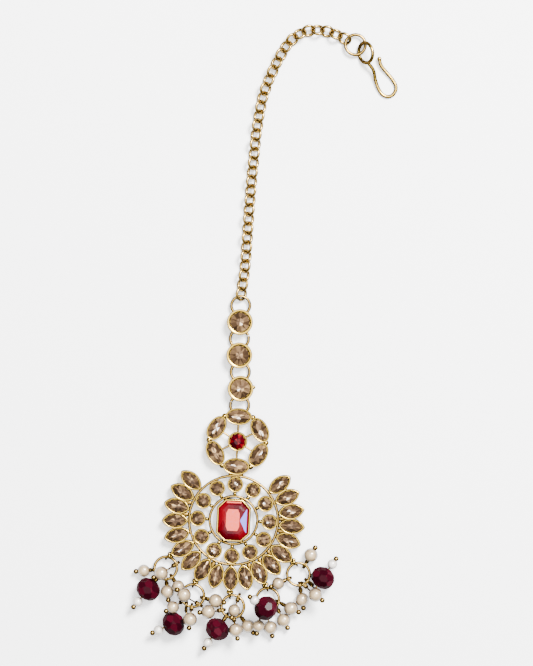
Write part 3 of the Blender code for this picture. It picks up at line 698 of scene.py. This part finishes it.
def materials():
    """The finishes, made once from the colours in the panel."""
    colours = bpy.context.scene.tikka
    # The low stops are the glass's own browns; the higher ones are painted reflections, and the near white
    # at the top a painted highlight
    champagne = [
        (0.0, linear("#2e2116")), (0.3, colours.champagne_deep), (0.65, linear("#785e42")),
        (0.85, colours.champagne_light), (0.98, linear("#e4e2e8")),
    ]
    # The red stones' pink and lavender stops are painted reflections
    red = [
        (0.0, linear("#240005")), (0.3, colours.red), (0.55, linear("#860010")),
        (0.75, linear("#c8503e")), (0.95, linear("#6c68c0")),
    ]
    # Each metal runs dark, mid and bright by how level a place lies: its bright gold is painted light on
    # level places, its dark gold part oxide and part painted shade on steep ones
    brass = (colours.gold_bright, colours.gold_mid, colours.gold_dark)
    wire = (linear("#94773a"), linear("#4c3814"), linear("#241808"))
    chain = (linear("#a88a48"), linear("#6a5224"), linear("#2c1f0c"))
    oxide = (linear("#84662a"), linear("#4a3614"), linear("#1c1409"))
    finishes = {
        "brass": (antique_brass, "antique_gold_brass", *brass, 0.24, (0.45, 0.72, 0.93)),
        "wire": (antique_brass, "dark_gold_wire", *wire, 0.26, (0.5, 0.78, 0.96)),
        "chain": (antique_brass, "chain_brass", *chain, 0.24, (0.15, 0.5, 0.9)),
        "oxide": (antique_brass, "oxidised_brass", *oxide, 0.32, (0.5, 0.8, 0.97)),
        "champagne": (foiled_glass, "foiled_champagne_glass", champagne, 0.35, 0.16, 0.35),
        "red": (foiled_glass, "foiled_red_glass", red, 0.0, 0.2, 0.08),
        "garnet": (garnet_glass, "dark_red_glass", colours.garnet, linear("#3a0614")),
        # Each pearl's second colour is the painted brown shade round its sides
        "cream": (pearl_lacquer, "cream_pearl_lacquer", colours.cream, linear("#3a2714")),
        "white": (pearl_lacquer, "white_pearl_lacquer", colours.white, linear("#6e6458")),
    }
    return {
        key: bpy.data.materials.get(name) or make(name, *values)
        for key, (make, name, *values) in finishes.items()
    }


# Chain route

def chain_curve(start):
    """Evenly fine points along a smooth run through the chosen points."""
    knots = [Vector((start.x, start.y))] + [Vector(point) for point in CHAIN_ROUTE]
    knots = [knots[0] * 2 - knots[1]] + knots + [knots[-1] * 2 - knots[-2]]
    points = []
    for index in range(1, len(knots) - 2):
        before, first, second, after = knots[index - 1:index + 3]
        for step in range(40):
            t = step / 40
            points.append(0.5 * (
                first * 2 + (second - before) * t
                + (before * 2 - first * 5 + second * 4 - after) * t ** 2
                + (first * 3 - before - second * 3 + after) * t ** 3
            ))
    points.append(knots[-2])
    return points


def walk(points, stride, count):
    """Points a fixed straight stride apart along the run; it goes straight on past the end."""
    spots = [points[0]]
    index = 1
    while len(spots) < count:
        while index < len(points) and (points[index] - spots[-1]).length < stride:
            index += 1
        if index == len(points):
            onward = (points[-1] - points[-2]).normalized()
            spots.append(spots[-1] + onward * stride)
            continue
        before, after = points[index - 1], points[index]
        low, high = 0.0, 1.0
        for _ in range(30):
            middle = (low + high) / 2
            if (before.lerp(after, middle) - spots[-1]).length < stride:
                low = middle
            else:
                high = middle
        spots.append(before.lerp(after, high))
    return spots


def link_places():
    """Frame of every chain link."""
    radius = (LINK_DIAMETER - CHAIN_WIRE) / 2
    height = radius * math.sin(math.radians(LINK_ROLL)) + CHAIN_WIRE / 2
    middle, facing = ring_pose("chain_ring")
    ahead = Vector((0.0, 1.0, 0.0))
    ahead = (ahead - facing * ahead.dot(facing)).normalized()
    start = middle + ahead * (LINK_RING_DIAMETER - RING_WIRE) / 2
    start.y += radius - (RING_WIRE + CHAIN_WIRE) / 2 - GAP
    pitch = 2 * radius - CHAIN_WIRE + BITE
    count = int(CHAIN_LENGTH / pitch)
    spots = walk(chain_curve(start), pitch, count + 1)
    places = []
    for index in range(count):
        along = (spots[index + 1] - spots[max(index - 1, 0)]).normalized().to_3d()
        roll = LINK_ROLL if index % 2 == 0 else -LINK_ROLL
        normal = Matrix.Rotation(math.radians(roll), 3, along) @ UP
        places.append(frame_of(spots[index].to_3d() + UP * height, along, normal))
    return places


# Drops

def bead_size(kind):
    """Half length along the pin, and radius, of a drop's main bead."""
    if kind == "garnet":
        return GARNET_LENGTH / 2, GARNET_DIAMETER / 2
    diameter = PEARL_DIAMETER if kind == "pearl" else LESSER_PEARL_DIAMETER
    return diameter / 2, diameter / 2


def drop_way(drop, loop_spot, bead_spot):
    """Way that a drop's pin points, level unless it rises, and the spot where the pin bends."""
    half = bead_size(drop["bead"])[0]
    away = bead_spot - loop_spot
    aim = heading(drop["aim"]) if "aim" in drop else Vector((away.x, away.y, 0.0)).normalized()
    rise = math.radians(drop.get("rise", 0.0))
    aim = aim * math.cos(rise) + UP * math.sin(rise)
    stub = NECK_STUB if drop["bead"] == "garnet" else 0.0
    return aim, bead_spot - aim * (half + stub)


def drop_end(drop, aim, bead_spot):
    """Middle of the ball that closes a pin."""
    end = bead_spot + aim * bead_size(drop["bead"])[0]
    if drop["bead"] == "garnet":
        end += aim * (GAP + CAP_PEARL_DIAMETER)
    return end + aim * BALL_DIAMETER * BALL_LAP


def loop_frame(loop_spot, bend, aim):
    """Frame of an upright pin loop that faces the bend of its pin."""
    along = (bend - loop_spot).normalized()
    level = Vector((along.x, along.y, 0.0))
    if level.length < 0.1:
        level = aim.copy()
    return frame_of(loop_spot, along, level.normalized().cross(UP))


def drop_balls(drop, loop_spot, bead_spot):
    """Balls that stand for a drop when it is laid beside the others: middle and radius."""
    radius = bead_size(drop["bead"])[1]
    aim, bend = drop_way(drop, loop_spot, bead_spot)
    side = loop_frame(loop_spot, bend, aim)
    loop_radius = (PIN_LOOP_DIAMETER - PIN_WIRE) / 2
    balls = []
    for step in range(12):
        turn = 2.0 * math.pi * step / 12
        spot = side @ (Vector((math.cos(turn), math.sin(turn), 0.0)) * loop_radius)
        balls.append((spot, PIN_WIRE / 2))
    start = loop_spot + (bend - loop_spot).normalized() * loop_radius
    steps = max(2, int((bend - start).length / 0.3))
    for step in range(steps + 1):
        balls.append((start.lerp(bend, step / steps), PIN_WIRE / 2))
    balls.append((bead_spot, radius))
    ball_spot = drop_end(drop, aim, bead_spot)
    if drop["bead"] == "garnet":
        cap_spot = ball_spot - aim * (BALL_DIAMETER * BALL_LAP + CAP_PEARL_DIAMETER / 2)
        balls.append((cap_spot, CAP_PEARL_DIAMETER / 2))
    balls.append((ball_spot, BALL_DIAMETER / 2))
    return balls


def is_clear(balls, laid):
    return all(
        (spot - other).length >= radius + other_radius + LAID_GAP
        for spot, radius in balls for other, other_radius in laid
    )


def lay_bead(drop, centre, loop_spot, laid):
    """Bead spot: far enough for its pin, then as low as it can lie on what is already there."""
    radius = bead_size(drop["bead"])[1]
    least = PIN_LOOP_DIAMETER / 2 + NECK_LEAST
    away = heading(drop["bearing"])
    spot = Vector((centre.x, centre.y, radius)) + away * drop["out"]
    over_ring = drop["out"] < DROP_RING_DIAMETER / 2
    while (drop_way(drop, loop_spot, spot)[1] - loop_spot).length < least:
        spot += (UP if over_ring else away) * 0.05
    if drop["bead"] == "garnet" and not over_ring and "aim" not in drop:
        room = PIN_LOOP_DIAMETER / 2 + GAP - NECK_STUB
        aim, bend = drop_way(drop, loop_spot, spot)
        spot += away * max(0.0, room - (bend - loop_spot).dot(aim))
    while not is_clear(drop_balls(drop, loop_spot, spot), laid):
        spot += UP * 0.1
        if spot.z > HEAP_HEIGHT:
            raise ValueError("no room for a bead on drop ring %(ring)s" % drop)
    return spot


def laid_drops():
    """Every drop with its number, loop spot and bead spot, laid as in the frame."""
    radius = (DROP_RING_DIAMETER - RING_WIRE) / 2
    middles = {}
    laid = []
    for number, ring in DROP_RINGS.items():
        eye_spot = heading(petal_bearing(ring["petal"])) * DROP_EYE_REACH
        eye_spot.z = DROP_EYE_HEIGHT
        rise = math.radians(DROP_RING_RISE)
        along = heading(ring["hang"]) * math.cos(rise) + UP * math.sin(rise)
        middle = frame_of(eye_spot + along * radius, along, UP)
        middles[number] = middle
        laid += [(middle @ (heading(step * 9.0) * radius), RING_WIRE / 2) for step in range(40)]
    numbers = {"garnet": 0, "pearl": 0}
    drops = []
    for drop in DROPS:
        middle = middles[drop["ring"]]
        loop_spot = middle @ (heading(drop["loop"] - DROP_RINGS[drop["ring"]]["hang"]) * radius)
        spot = lay_bead(drop, middle.translation, loop_spot, laid)
        laid += drop_balls(drop, loop_spot, spot)
        family = "garnet" if drop["bead"] == "garnet" else "pearl"
        numbers[family] += 1
        drops.append((drop, family, numbers[family], loop_spot, spot))
    return drops


# Sizes and colours a user may change

def colour_property(name, description, code):
    return bpy.props.FloatVectorProperty(
        name=name, description=description, default=linear(code), min=0.0, max=1.0, subtype="COLOR",
    )


class TikkaSettings(bpy.types.PropertyGroup):
    lip: bpy.props.FloatProperty(
        name="Lip", description="Width of a setting's lip, in millimetres", default=0.56, min=0.3, max=0.9,
    )
    seam: bpy.props.FloatProperty(
        name="Seam", description="Gap between the ends of a jump ring, in millimetres",
        default=0.12, min=0.02, max=0.5,
    )
    camera_lens: bpy.props.FloatProperty(
        name="Lens", description="Focal length of the camera", default=160.0, min=35.0, unit="CAMERA",
    )
    # The three golds follow how level a place lies: bright is painted light on level places, where the wipe
    # reaches, and dark is oxide and painted shade on steep sides
    gold_bright: colour_property("Bright gold", "Wiped places of the brass", "#b0903e")
    gold_mid: colour_property("Gold", "Places that the wipe half reaches", "#5c4518")
    gold_dark: colour_property("Dark gold", "Recesses that stay oxidised", "#2a1d0a")
    champagne_deep: colour_property("Deep champagne", "Dull facets of the clear stones", "#523e2c")
    # Light champagne is the colour of the painted reflections on the stones' bright facets
    champagne_light: colour_property("Light champagne", "Bright facets of the clear stones", "#c6a270")
    red: colour_property("Red", "Body of the red stones", "#5c000a")
    garnet: colour_property("Dark bead", "Body of the dark red beads", "#1a0207")
    cream: colour_property("Cream pearl", "Body of the pearls", "#ad9672")
    white: colour_property("White pearl", "Body of the small pearls on the dark beads' pins", "#d8d2ca")


# One operator for each kind of piece

class TIKKA_OT_settings(bpy.types.Operator):
    """Build the metal of both medallions"""

    bl_idname = "tikka.settings"
    bl_label = "Medallion settings"

    def execute(self, context):
        lip = context.scene.tikka.lip
        finishes = materials()
        bodies = []

        def lay(body, matrix, finish="brass"):
            bodies.append(dress(copy_of(body, matrix), finishes[finish]))

        grain = bead("grain", GRAIN_DIAMETER, 14, 8)
        outer = wire_ring("outer_ring", OUTER_RING_DIAMETER, RING_WIRE, 0.0, 120, 10)
        inner = wire_ring("inner_ring", INNER_RING_DIAMETER, RING_WIRE, 0.0, 80, 10)
        lay(outer, shift(UP * MID_HEIGHT), "wire")
        lay(inner, shift(UP * MID_HEIGHT), "wire")
        bodies.append(dress(self.centre_cup(lip), finishes["brass"]))
        for right in (-1, 1):
            for up in (-1, 1):
                corner = Vector((right * (CENTRE_WIDTH / 2 - CENTRE_CORNER), up * CENTRE_LENGTH / 2, 0.0))
                spot = corner * ((INNER_RING_DIAMETER - RING_WIRE) / 2 + corner.length) / 2 / corner.length
                lay(grain, shift(spot + UP * MID_HEIGHT), "oxide")
        halo = setting("halo", HALO_OUTLINE, CUP_RIM, lip, 32)
        joint = (HALO_RADIUS - HALO_DIAMETER / 2 + INNER_RING_DIAMETER / 2) / 2
        for bearing, spot in round_places(HALO_COUNT, HALO_RADIUS):
            lay(halo, shift(spot))
            lay(grain, shift(heading(bearing) * joint + UP * MID_HEIGHT))
        petal = setting("petal", PETAL_OUTLINE, CUP_RIM, lip, 48)
        for place in petal_places():
            lay(petal, place)
        web = bead("web", WEB_LENGTH, 16, 8)
        web.data.transform(Matrix.Diagonal(WEB_SHAPE))
        for gap in WEBBED_GAPS:
            bearing = petal_bearing(gap)
            spot = heading(bearing) * (OUTER_RING_DIAMETER / 2 + WEB_REACH) + UP * WEB_HEIGHT
            lay(web, shift(spot) @ spin(bearing), "oxide")
        eye = wire_ring("eye", EYE_DIAMETER, EYE_WIRE, 0.0, 24, 8)
        tip = PETAL_RADIUS + PETAL_LENGTH / 2
        for ring in DROP_RINGS.values():
            bearing = petal_bearing(ring["petal"])
            out = heading(bearing)
            facing = heading((bearing + ring["hang"]) / 2)
            lay(eye, frame_of(out * DROP_EYE_REACH + UP * DROP_EYE_HEIGHT, UP, facing.cross(UP)), "oxide")
            for outward, aside, rise in TIP_GRAINS:
                lay(grain, shift(out * (tip + outward) + heading(bearing + 90) * aside + UP * rise))
        self.upper(lay, grain, eye, lip)
        for aside in (-1.5, 1.5):
            lay(grain, shift((aside, OUTER_RING_DIAMETER / 2, MID_HEIGHT - 0.2)), "oxide")
        discard(grain, outer, inner, halo, petal, web, eye)
        complete("medallion_settings", bodies, "antique_gold", "pendant_frame")
        return {"FINISHED"}

    def centre_cup(self, lip):
        """Eight-sided cup with a rounded lip and a sunk seat."""
        steps = [(0.12, 0.16), (0.12, 0.04), (lip - 0.38, 0.0), (0.12, -0.12), (0.02, -0.8)]
        size = (CENTRE_WIDTH, CENTRE_LENGTH, CENTRE_CORNER)
        body = eight_sided("centre_cup", *size, 0.0, CENTRE_RIM - 0.2, steps)
        close_edit()
        round_off(body, 50)
        return body

    def upper(self, lay, grain, eye, lip):
        """Small medallion: six ovals round one round setting, spokes and solder balls."""
        middle = Vector((0.0, UPPER_OFFSET, 0.0))
        cup = setting("cup", ROUND_OUTLINE, CUP_RIM, lip, 40)
        lay(cup, shift(middle))
        oval = setting("oval", OVAL_OUTLINE, CUP_RIM, lip, 48)
        for bearing, place in round_places(UPPER_COUNT, UPPER_RADIUS, middle):
            out = heading(bearing)
            lay(oval, shift(place) @ spin(bearing + 90.0))
            start = middle + out * (ROUND_DIAMETER / 2 - SPOKE_BITE) + UP * MID_HEIGHT
            end = middle + out * (UPPER_RADIUS - OVAL_WIDTH / 2 + SPOKE_BITE) + UP * MID_HEIGHT
            spoke = wire_run("spoke", [start, (start + end) / 2, end], SPOKE_WIRE)
            lay(spoke, Matrix.Identity(4), "wire")
            between = heading(bearing + 180.0 / UPPER_COUNT)
            joint = middle + between * (UPPER_RADIUS + OVAL_WIDTH * 0.2) + UP * MID_HEIGHT
            lay(grain, shift(joint) @ Matrix.Scale(1.4, 4))
            discard(spoke)
        loop = Vector((0.0, UPPER_OFFSET + UPPER_LOOP_OFFSET, LOOP_HEIGHT))
        lay(eye, frame_of(loop, UP, Vector((1.0, 0.0, 0.0))))
        discard(cup, oval)


class TIKKA_OT_stones(bpy.types.Operator):
    """Cut the stones of both medallions"""

    bl_idname = "tikka.stones"
    bl_label = "Medallion stones"

    def execute(self, context):
        finishes = materials()
        inset = context.scene.tikka.lip - STONE_LAP
        edge = CUP_RIM - STONE_SUNK
        middle = Vector((0.0, UPPER_OFFSET, 0.0))
        halo = cut_stone("halo", HALO_OUTLINE, 8, inset, 0.85, edge, 0.6)
        petal = cut_stone("petal", PETAL_OUTLINE, 10, inset, 0.95, edge, 0.6)
        field = []
        for index, (bearing, spot) in enumerate(round_places(HALO_COUNT, HALO_RADIUS)):
            stone = copy_of(halo, shift(spot) @ spin(bearing + index * 17))
            field.append(mark_glints(dress(stone, finishes["champagne"]), 100 + index))
        for index, place in enumerate(petal_places()):
            stone = dress(copy_of(petal, place), finishes["champagne"])
            field.append(mark_glints(stone, 200 + index))
        settle(join("field_stones", field), "champagne_stone")
        oval = cut_stone("oval", OVAL_OUTLINE, 10, inset, 1.1, edge, 0.75)
        for index, (bearing, spot) in enumerate(round_places(UPPER_COUNT, UPPER_RADIUS, middle)):
            stone = copy_of(oval, shift(spot) @ spin(bearing + 90))
            stone.name = "oval_cut_" + str(index + 1)
            mark_glints(dress(stone, finishes["champagne"]), 300 + index, 1.5)
            settle(stone, "champagne_stone", "oval_stone_" + str(index + 1))
        small = cut_stone("round_cut_red", ROUND_OUTLINE, 10, inset, 1.2, edge, 0.75)
        small.data.transform(shift(middle))
        mark_glints(dress(small, finishes["red"]), 7, 2.5)
        # Its painted reflections are held to half strength
        for value in small.data.attributes["glint"].data:
            value.value *= 0.5
        settle(small, "red_stone", "small_red_stone")
        self.centre(finishes, inset)
        discard(halo, petal, oval)
        return {"FINISHED"}

    def centre(self, finishes, inset):
        """Eight-sided step cut: three rows of long facets round a long table, cut along the edges of its
        painted reflections.
        """
        size = (CENTRE_WIDTH - 2 * inset, CENTRE_LENGTH - 2 * inset, CENTRE_CORNER - inset * 0.59)
        steps = [(0.5, 0.35), (0.55, 0.28), (0.6, 0.15)]
        body = eight_sided("centre_step_cut", *size, CENTRE_RIM - 1.3, 0.8, steps)
        close_edit(merge=False)
        edit(body)
        for x, y, bearing in BARREL_REFLECTION + WEDGE_REFLECTION:
            pick_faces(body, lambda face: face.normal.z > 0.3 and face.center.z > CENTRE_RIM - 0.5)
            bpy.ops.mesh.bisect(plane_co=(x, y, 0.0), plane_no=heading(bearing))
        close_edit(merge=False)

        def inside(face, planes):
            return all(
                (face.center - Vector((x, y, face.center.z))).dot(heading(bearing)) < 0.0
                for x, y, bearing in planes
            )

        # Facets vary in tone twice round the stone; the barrel on the table is a painted pink reflection of
        # the light overhead, the wedge a painted lavender reflection, and the top end's facets that face +Y
        # carry a painted pink reflection of the key light
        layer = body.data.attributes.new("glint", "FLOAT", "FACE")
        for face, value in zip(body.data.polygons, layer.data):
            turn = math.atan2(face.center.y, face.center.x)
            value.value = 0.2 + 0.14 * math.cos(2 * turn + 0.6)
            if inside(face, BARREL_REFLECTION) and face.normal.z > 0.99:
                value.value = 0.75
            if inside(face, WEDGE_REFLECTION) and face.normal.z > 0.3 and face.center.x < 3.5:
                value.value = 0.95
            if face.normal.y > 0.3 and face.center.y > 4.6:
                value.value = 0.75
        dress(body, finishes["red"])
        settle(body, "red_stone", "centre_stone")


class TIKKA_OT_collets(bpy.types.Operator):
    """Build the three round collets and their stones"""

    bl_idname = "tikka.collets"
    bl_label = "Collets"

    def execute(self, context):
        lip = context.scene.tikka.lip + COLLET_LIP_EXTRA
        finishes = materials()
        cup = setting("cup", COLLET_OUTLINE, COLLET_RIM, lip, 48)
        edge = COLLET_RIM - STONE_SUNK
        stone = cut_stone("stone", COLLET_OUTLINE, 12, lip - STONE_LAP, 1.6, edge, 0.85)
        loop = wire_ring("loop", EYE_DIAMETER, EYE_WIRE, 0.0, 24, 8)
        grain = bead("grain", GRAIN_DIAMETER, 14, 8)
        for number in (1, 2, 3):
            low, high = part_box("collet_stone_" + str(number))
            centre = (low + high) / 2 / MM
            centre.z = 0.0
            lean = LEANS["collet_" + str(number)]
            along = heading(90.0 - lean)
            where = shift(centre) @ spin(-lean)
            bodies = [dress(copy_of(cup, where), finishes["brass"])]
            for side in (-1.0, 1.0):
                spot = centre + along * side * COLLET_LOOP_OFFSET + UP * LOOP_HEIGHT
                bodies.append(dress(copy_of(loop, frame_of(spot, UP, along.cross(UP))), finishes["oxide"]))
            if number == 3:
                spot = centre + heading(-lean + 8.0) * (COLLET_DIAMETER / 2) + UP * (COLLET_RIM - 0.55)
                bodies.append(dress(copy_of(grain, shift(spot)), finishes["brass"]))
            name = "round_collet_" + str(number)
            complete(name, bodies, "antique_gold", "collet_" + str(number))
            cut = dress(copy_of(stone, where @ spin(number * 11)), finishes["champagne"])
            cut.name = "round_cut_" + str(number)
            mark_glints(cut, 400 + number, 1.6)
            settle(cut, "champagne_stone", "collet_stone_" + str(number))
        discard(cup, stone, loop, grain)
        return {"FINISHED"}


class TIKKA_OT_rings(bpy.types.Operator):
    """Bend the jump rings and the drop rings"""

    bl_idname = "tikka.rings"
    bl_label = "Rings"

    def execute(self, context):
        seam = context.scene.tikka.seam
        finishes = materials()
        strand = ["collet_ring_1", "collet_ring_2", "collet_ring_3", "chain_ring"]
        kinds = [
            (strand, LINK_RING_DIAMETER, RING_WIRE),
            (["hook_ring"], HOOK_RING_DIAMETER, HOOK_RING_WIRE),
            (["drop_ring_" + str(number) for number in DROP_RINGS], DROP_RING_DIAMETER, RING_WIRE),
        ]
        for nodes, diameter, wire in kinds:
            ring = wire_ring("ring", diameter, wire, seam, 56, 12)
            for index, node in enumerate(nodes):
                middle, facing = ring_pose(node)
                where = frame_of(middle, heading(20.0 + 70 * index), facing)
                body = dress(copy_of(ring, where), finishes["wire"])
                complete(node.replace("ring", "jump_ring"), [body], "antique_gold", node)
            discard(ring)
        return {"FINISHED"}


class TIKKA_OT_chain(bpy.types.Operator):
    """Link the rolo chain"""

    bl_idname = "tikka.chain"
    bl_label = "Chain"

    def execute(self, context):
        finishes = materials()
        link = wire_ring("link", LINK_DIAMETER, CHAIN_WIRE, 0.05, 32, 10)
        links = [dress(copy_of(link, place), finishes["chain"]) for place in link_places()]
        discard(link)
        complete("rolo_links", links, "antique_gold", "chain")
        return {"FINISHED"}


class TIKKA_OT_hook(bpy.types.Operator):
    """Bend the hair hook"""

    bl_idname = "tikka.hook"
    bl_label = "Hook"

    def execute(self, context):
        finishes = materials()
        centre = ring_pose("hook_ring")[0]
        eye_radius = (HOOK_EYE_DIAMETER - HOOK_WIRE) / 2
        reach = ((HOOK_RING_DIAMETER - HOOK_RING_WIRE) / 2 + eye_radius) * HOOK_EYE_NEARNESS
        tilt = math.radians(HOOK_EYE_TILT)
        down = heading(-75.0)
        lean = heading(15.0) * math.cos(tilt) + UP * math.sin(tilt)
        eye_centre = Vector((centre.x, centre.y, 0.0)) + heading(HOOK_EYE_BEARING) * reach
        eye_centre.z = eye_radius * math.sin(tilt) + HOOK_WIRE / 2 + 0.03
        ring = wire_ring("hook_eye", HOOK_EYE_DIAMETER, HOOK_WIRE, 0.0, 48, 12)
        eye = copy_of(ring, frame_of(eye_centre, down, down.cross(lean)))
        foot = eye_centre + down * eye_radius
        path = [foot]
        for right, up, rise in HOOK_ROUTE:
            path.append(Vector((foot.x + right, foot.y + up, HOOK_WIRE / 2 + rise)))
        wire = wire_run("hook_wire", path, HOOK_WIRE, 12, 8)
        tip = bead("hook_tip", HOOK_WIRE * 1.25, 14, 8)
        tip.data.transform(shift(path[-1]))
        discard(ring)
        for body in (eye, wire, tip):
            dress(body, finishes["brass"])
        complete("hair_hook", [eye, wire, tip], "antique_gold", "hook")
        return {"FINISHED"}


class TIKKA_OT_drops(bpy.types.Operator):
    """Thread the pearls and the dark beads on their pins"""

    bl_idname = "tikka.drops"
    bl_label = "Bead drops"

    def execute(self, context):
        finishes = materials()
        loop = wire_ring("loop", PIN_LOOP_DIAMETER, PIN_WIRE, 0.0, 24, 8)
        wrap = wire_ring("wrap", PIN_WIRE * 2.8, PIN_WIRE, 0.0, 16, 6)
        head = bead("head", BALL_DIAMETER, 16, 10)
        pearls = {
            "pearl": bead("pearl", PEARL_DIAMETER, 32, 20),
            "lesser": bead("lesser", LESSER_PEARL_DIAMETER, 32, 20),
            "garnet": bead("cap", CAP_PEARL_DIAMETER, 28, 16),
        }
        for drop, family, number, loop_spot, spot in laid_drops():
            aim, bend = drop_way(drop, loop_spot, spot)
            across = aim.cross(UP)
            lying = frame_of(spot, across, aim)
            end = drop_end(drop, aim, spot)
            around = loop_frame(loop_spot, bend, aim)
            metal = [copy_of(loop, around @ shift((0, 0, side))) for side in (-0.17, 0.17)]
            start = loop_spot + (bend - loop_spot).normalized() * (PIN_LOOP_DIAMETER / 2 - PIN_WIRE / 2)
            metal.append(wire_run("neck", [start, bend, bend + aim * 0.6], PIN_WIRE, 8, 4))
            along = (bend - start).normalized()
            for turn in range(WRAP_COUNT):
                wrap_spot = start + along * (0.1 + turn * WRAP_PITCH)
                metal.append(copy_of(wrap, frame_of(wrap_spot, across, along)))
            metal.append(copy_of(head, shift(end)))
            for body in metal:
                dress(body, finishes["wire"])
            if family == "garnet":
                self.garnet(number, lying, finishes)
                cap_spot = end - aim * (BALL_DIAMETER * BALL_LAP + CAP_PEARL_DIAMETER / 2)
                round_bead = copy_of(pearls["garnet"], frame_of(cap_spot, across, aim))
                metal.append(dress(wire_run("pin", [bend, spot, end], PIN_WIRE, 8, 4), finishes["oxide"]))
                name, slot, finish, node = "bead_pin_", "white_pearl", "white", "garnet_pin_"
            else:
                round_bead = copy_of(pearls[drop["bead"]], lying)
                name, slot, finish, node = "pearl_", "cream_pearl", "cream", "pearl_drop_"
            dress(round_bead, finishes[finish])
            complete(name + str(number), [round_bead, *metal], slot, node + str(number))
        discard(loop, wrap, head, *pearls.values())
        return {"FINISHED"}

    def garnet(self, number, lying, finishes):
        """Bead cut flat all round by planes that lie a little inside its round form."""
        deselect()
        bpy.ops.mesh.primitive_uv_sphere_add(segments=20, ring_count=12, radius=1.0)
        body = added("faceted_bead_" + str(number))
        wide = GARNET_DIAMETER / 2
        long = GARNET_LENGTH / 2
        body.data.transform(Matrix.Diagonal((wide, wide, long, 1.0)))
        edit(body)
        chance = random.Random(number)
        for tilt, count in BEAD_PLANES:
            start = chance.uniform(0.0, 360.0)
            for index in range(count):
                bearing = start + index * 360.0 / count + chance.uniform(-5.0, 5.0)
                slope = math.radians(tilt + (chance.uniform(-4.0, 4.0) if abs(tilt) < 90 else 0.0))
                way = heading(bearing) * math.cos(slope) + UP * math.sin(slope)
                reach = math.hypot(wide * math.cos(slope), long * math.sin(slope)) * BEAD_DEPTH
                select_all()
                bpy.ops.mesh.bisect(plane_co=way * reach, plane_no=way, use_fill=True, clear_outer=True)
        select_all()
        bpy.ops.mesh.dissolve_limited(angle_limit=math.radians(0.5))
        close_edit()
        mark_glints(body, 500 + number, 2.0)
        body.data.transform(lying)
        dress(body, finishes["garnet"])
        settle(body, "dark_bead", "garnet_bead_" + str(number))


class TIKKA_OT_stage(bpy.types.Operator):
    """Set the floor, the lights and the camera"""

    bl_idname = "tikka.stage"
    bl_label = "Stage"

    def execute(self, context):
        deselect()
        bpy.ops.mesh.primitive_plane_add(size=3.0)
        floor = added("floor")
        dress(floor, matt_floor("matt_white_board", linear("#f4f4f4")))
        world = bpy.data.worlds.new("soft_room")
        world.use_nodes = True
        context.scene.world = world
        background = world.node_tree.nodes["Background"]
        background.inputs["Color"].default_value = (1.0, 1.0, 1.0, 1.0)
        background.inputs["Strength"].default_value = ROOM_LIGHT
        for name, light in LIGHTS.items():
            self.softbox(name, **light)
        self.camera(context)
        return {"FINISHED"}

    def softbox(self, name, place, size, power):
        """Square soft light aimed at the middle of the piece."""
        bpy.ops.object.light_add(type="AREA", location=place)
        lamp = added(name)
        lamp.data.size = size
        lamp.data.energy = power
        lamp.rotation_euler = (PIECE_MIDDLE - place).to_track_quat("-Z", "Y").to_euler()

    def camera(self, context):
        """Straight above, turned as the photo was, and framed as it was."""
        bpy.ops.object.camera_add(location=CAMERA_PLACE, rotation=(0, 0, math.radians(CAMERA_TURN)))
        camera = bpy.context.active_object
        camera.data.lens = context.scene.tikka.camera_lens
        camera.data.sensor_width = 36.0
        camera.data.clip_start = 0.01
        context.scene.camera = camera


STEPS = [
    TIKKA_OT_settings, TIKKA_OT_stones, TIKKA_OT_collets, TIKKA_OT_rings, TIKKA_OT_chain,
    TIKKA_OT_hook, TIKKA_OT_drops, TIKKA_OT_stage,
]


class TIKKA_PT_panel(bpy.types.Panel):
    bl_idname = "TIKKA_PT_panel"
    bl_label = "Maang tikka"
    bl_space_type = "VIEW_3D"
    bl_region_type = "UI"
    bl_category = "Maang tikka"

    def draw(self, context):
        settings = context.scene.tikka
        for name in settings.bl_rna.properties.keys():
            if name not in ("rna_type", "name"):
                self.layout.prop(settings, name)
        for step in STEPS:
            self.layout.operator(step.bl_idname)


CLASSES = [TikkaSettings, *STEPS, TIKKA_PT_panel]


def register():
    for item in CLASSES:
        bpy.utils.register_class(item)
    bpy.types.Scene.tikka = bpy.props.PointerProperty(type=TikkaSettings)


def unregister():
    del bpy.types.Scene.tikka
    for item in reversed(CLASSES):
        bpy.utils.unregister_class(item)


def main():
    register()
    bpy.ops.tikka.settings()
    bpy.ops.tikka.stones()
    bpy.ops.tikka.collets()
    bpy.ops.tikka.rings()
    bpy.ops.tikka.chain()
    bpy.ops.tikka.hook()
    bpy.ops.tikka.drops()
    bpy.ops.tikka.stage()


if __name__ == "__main__":
    main()
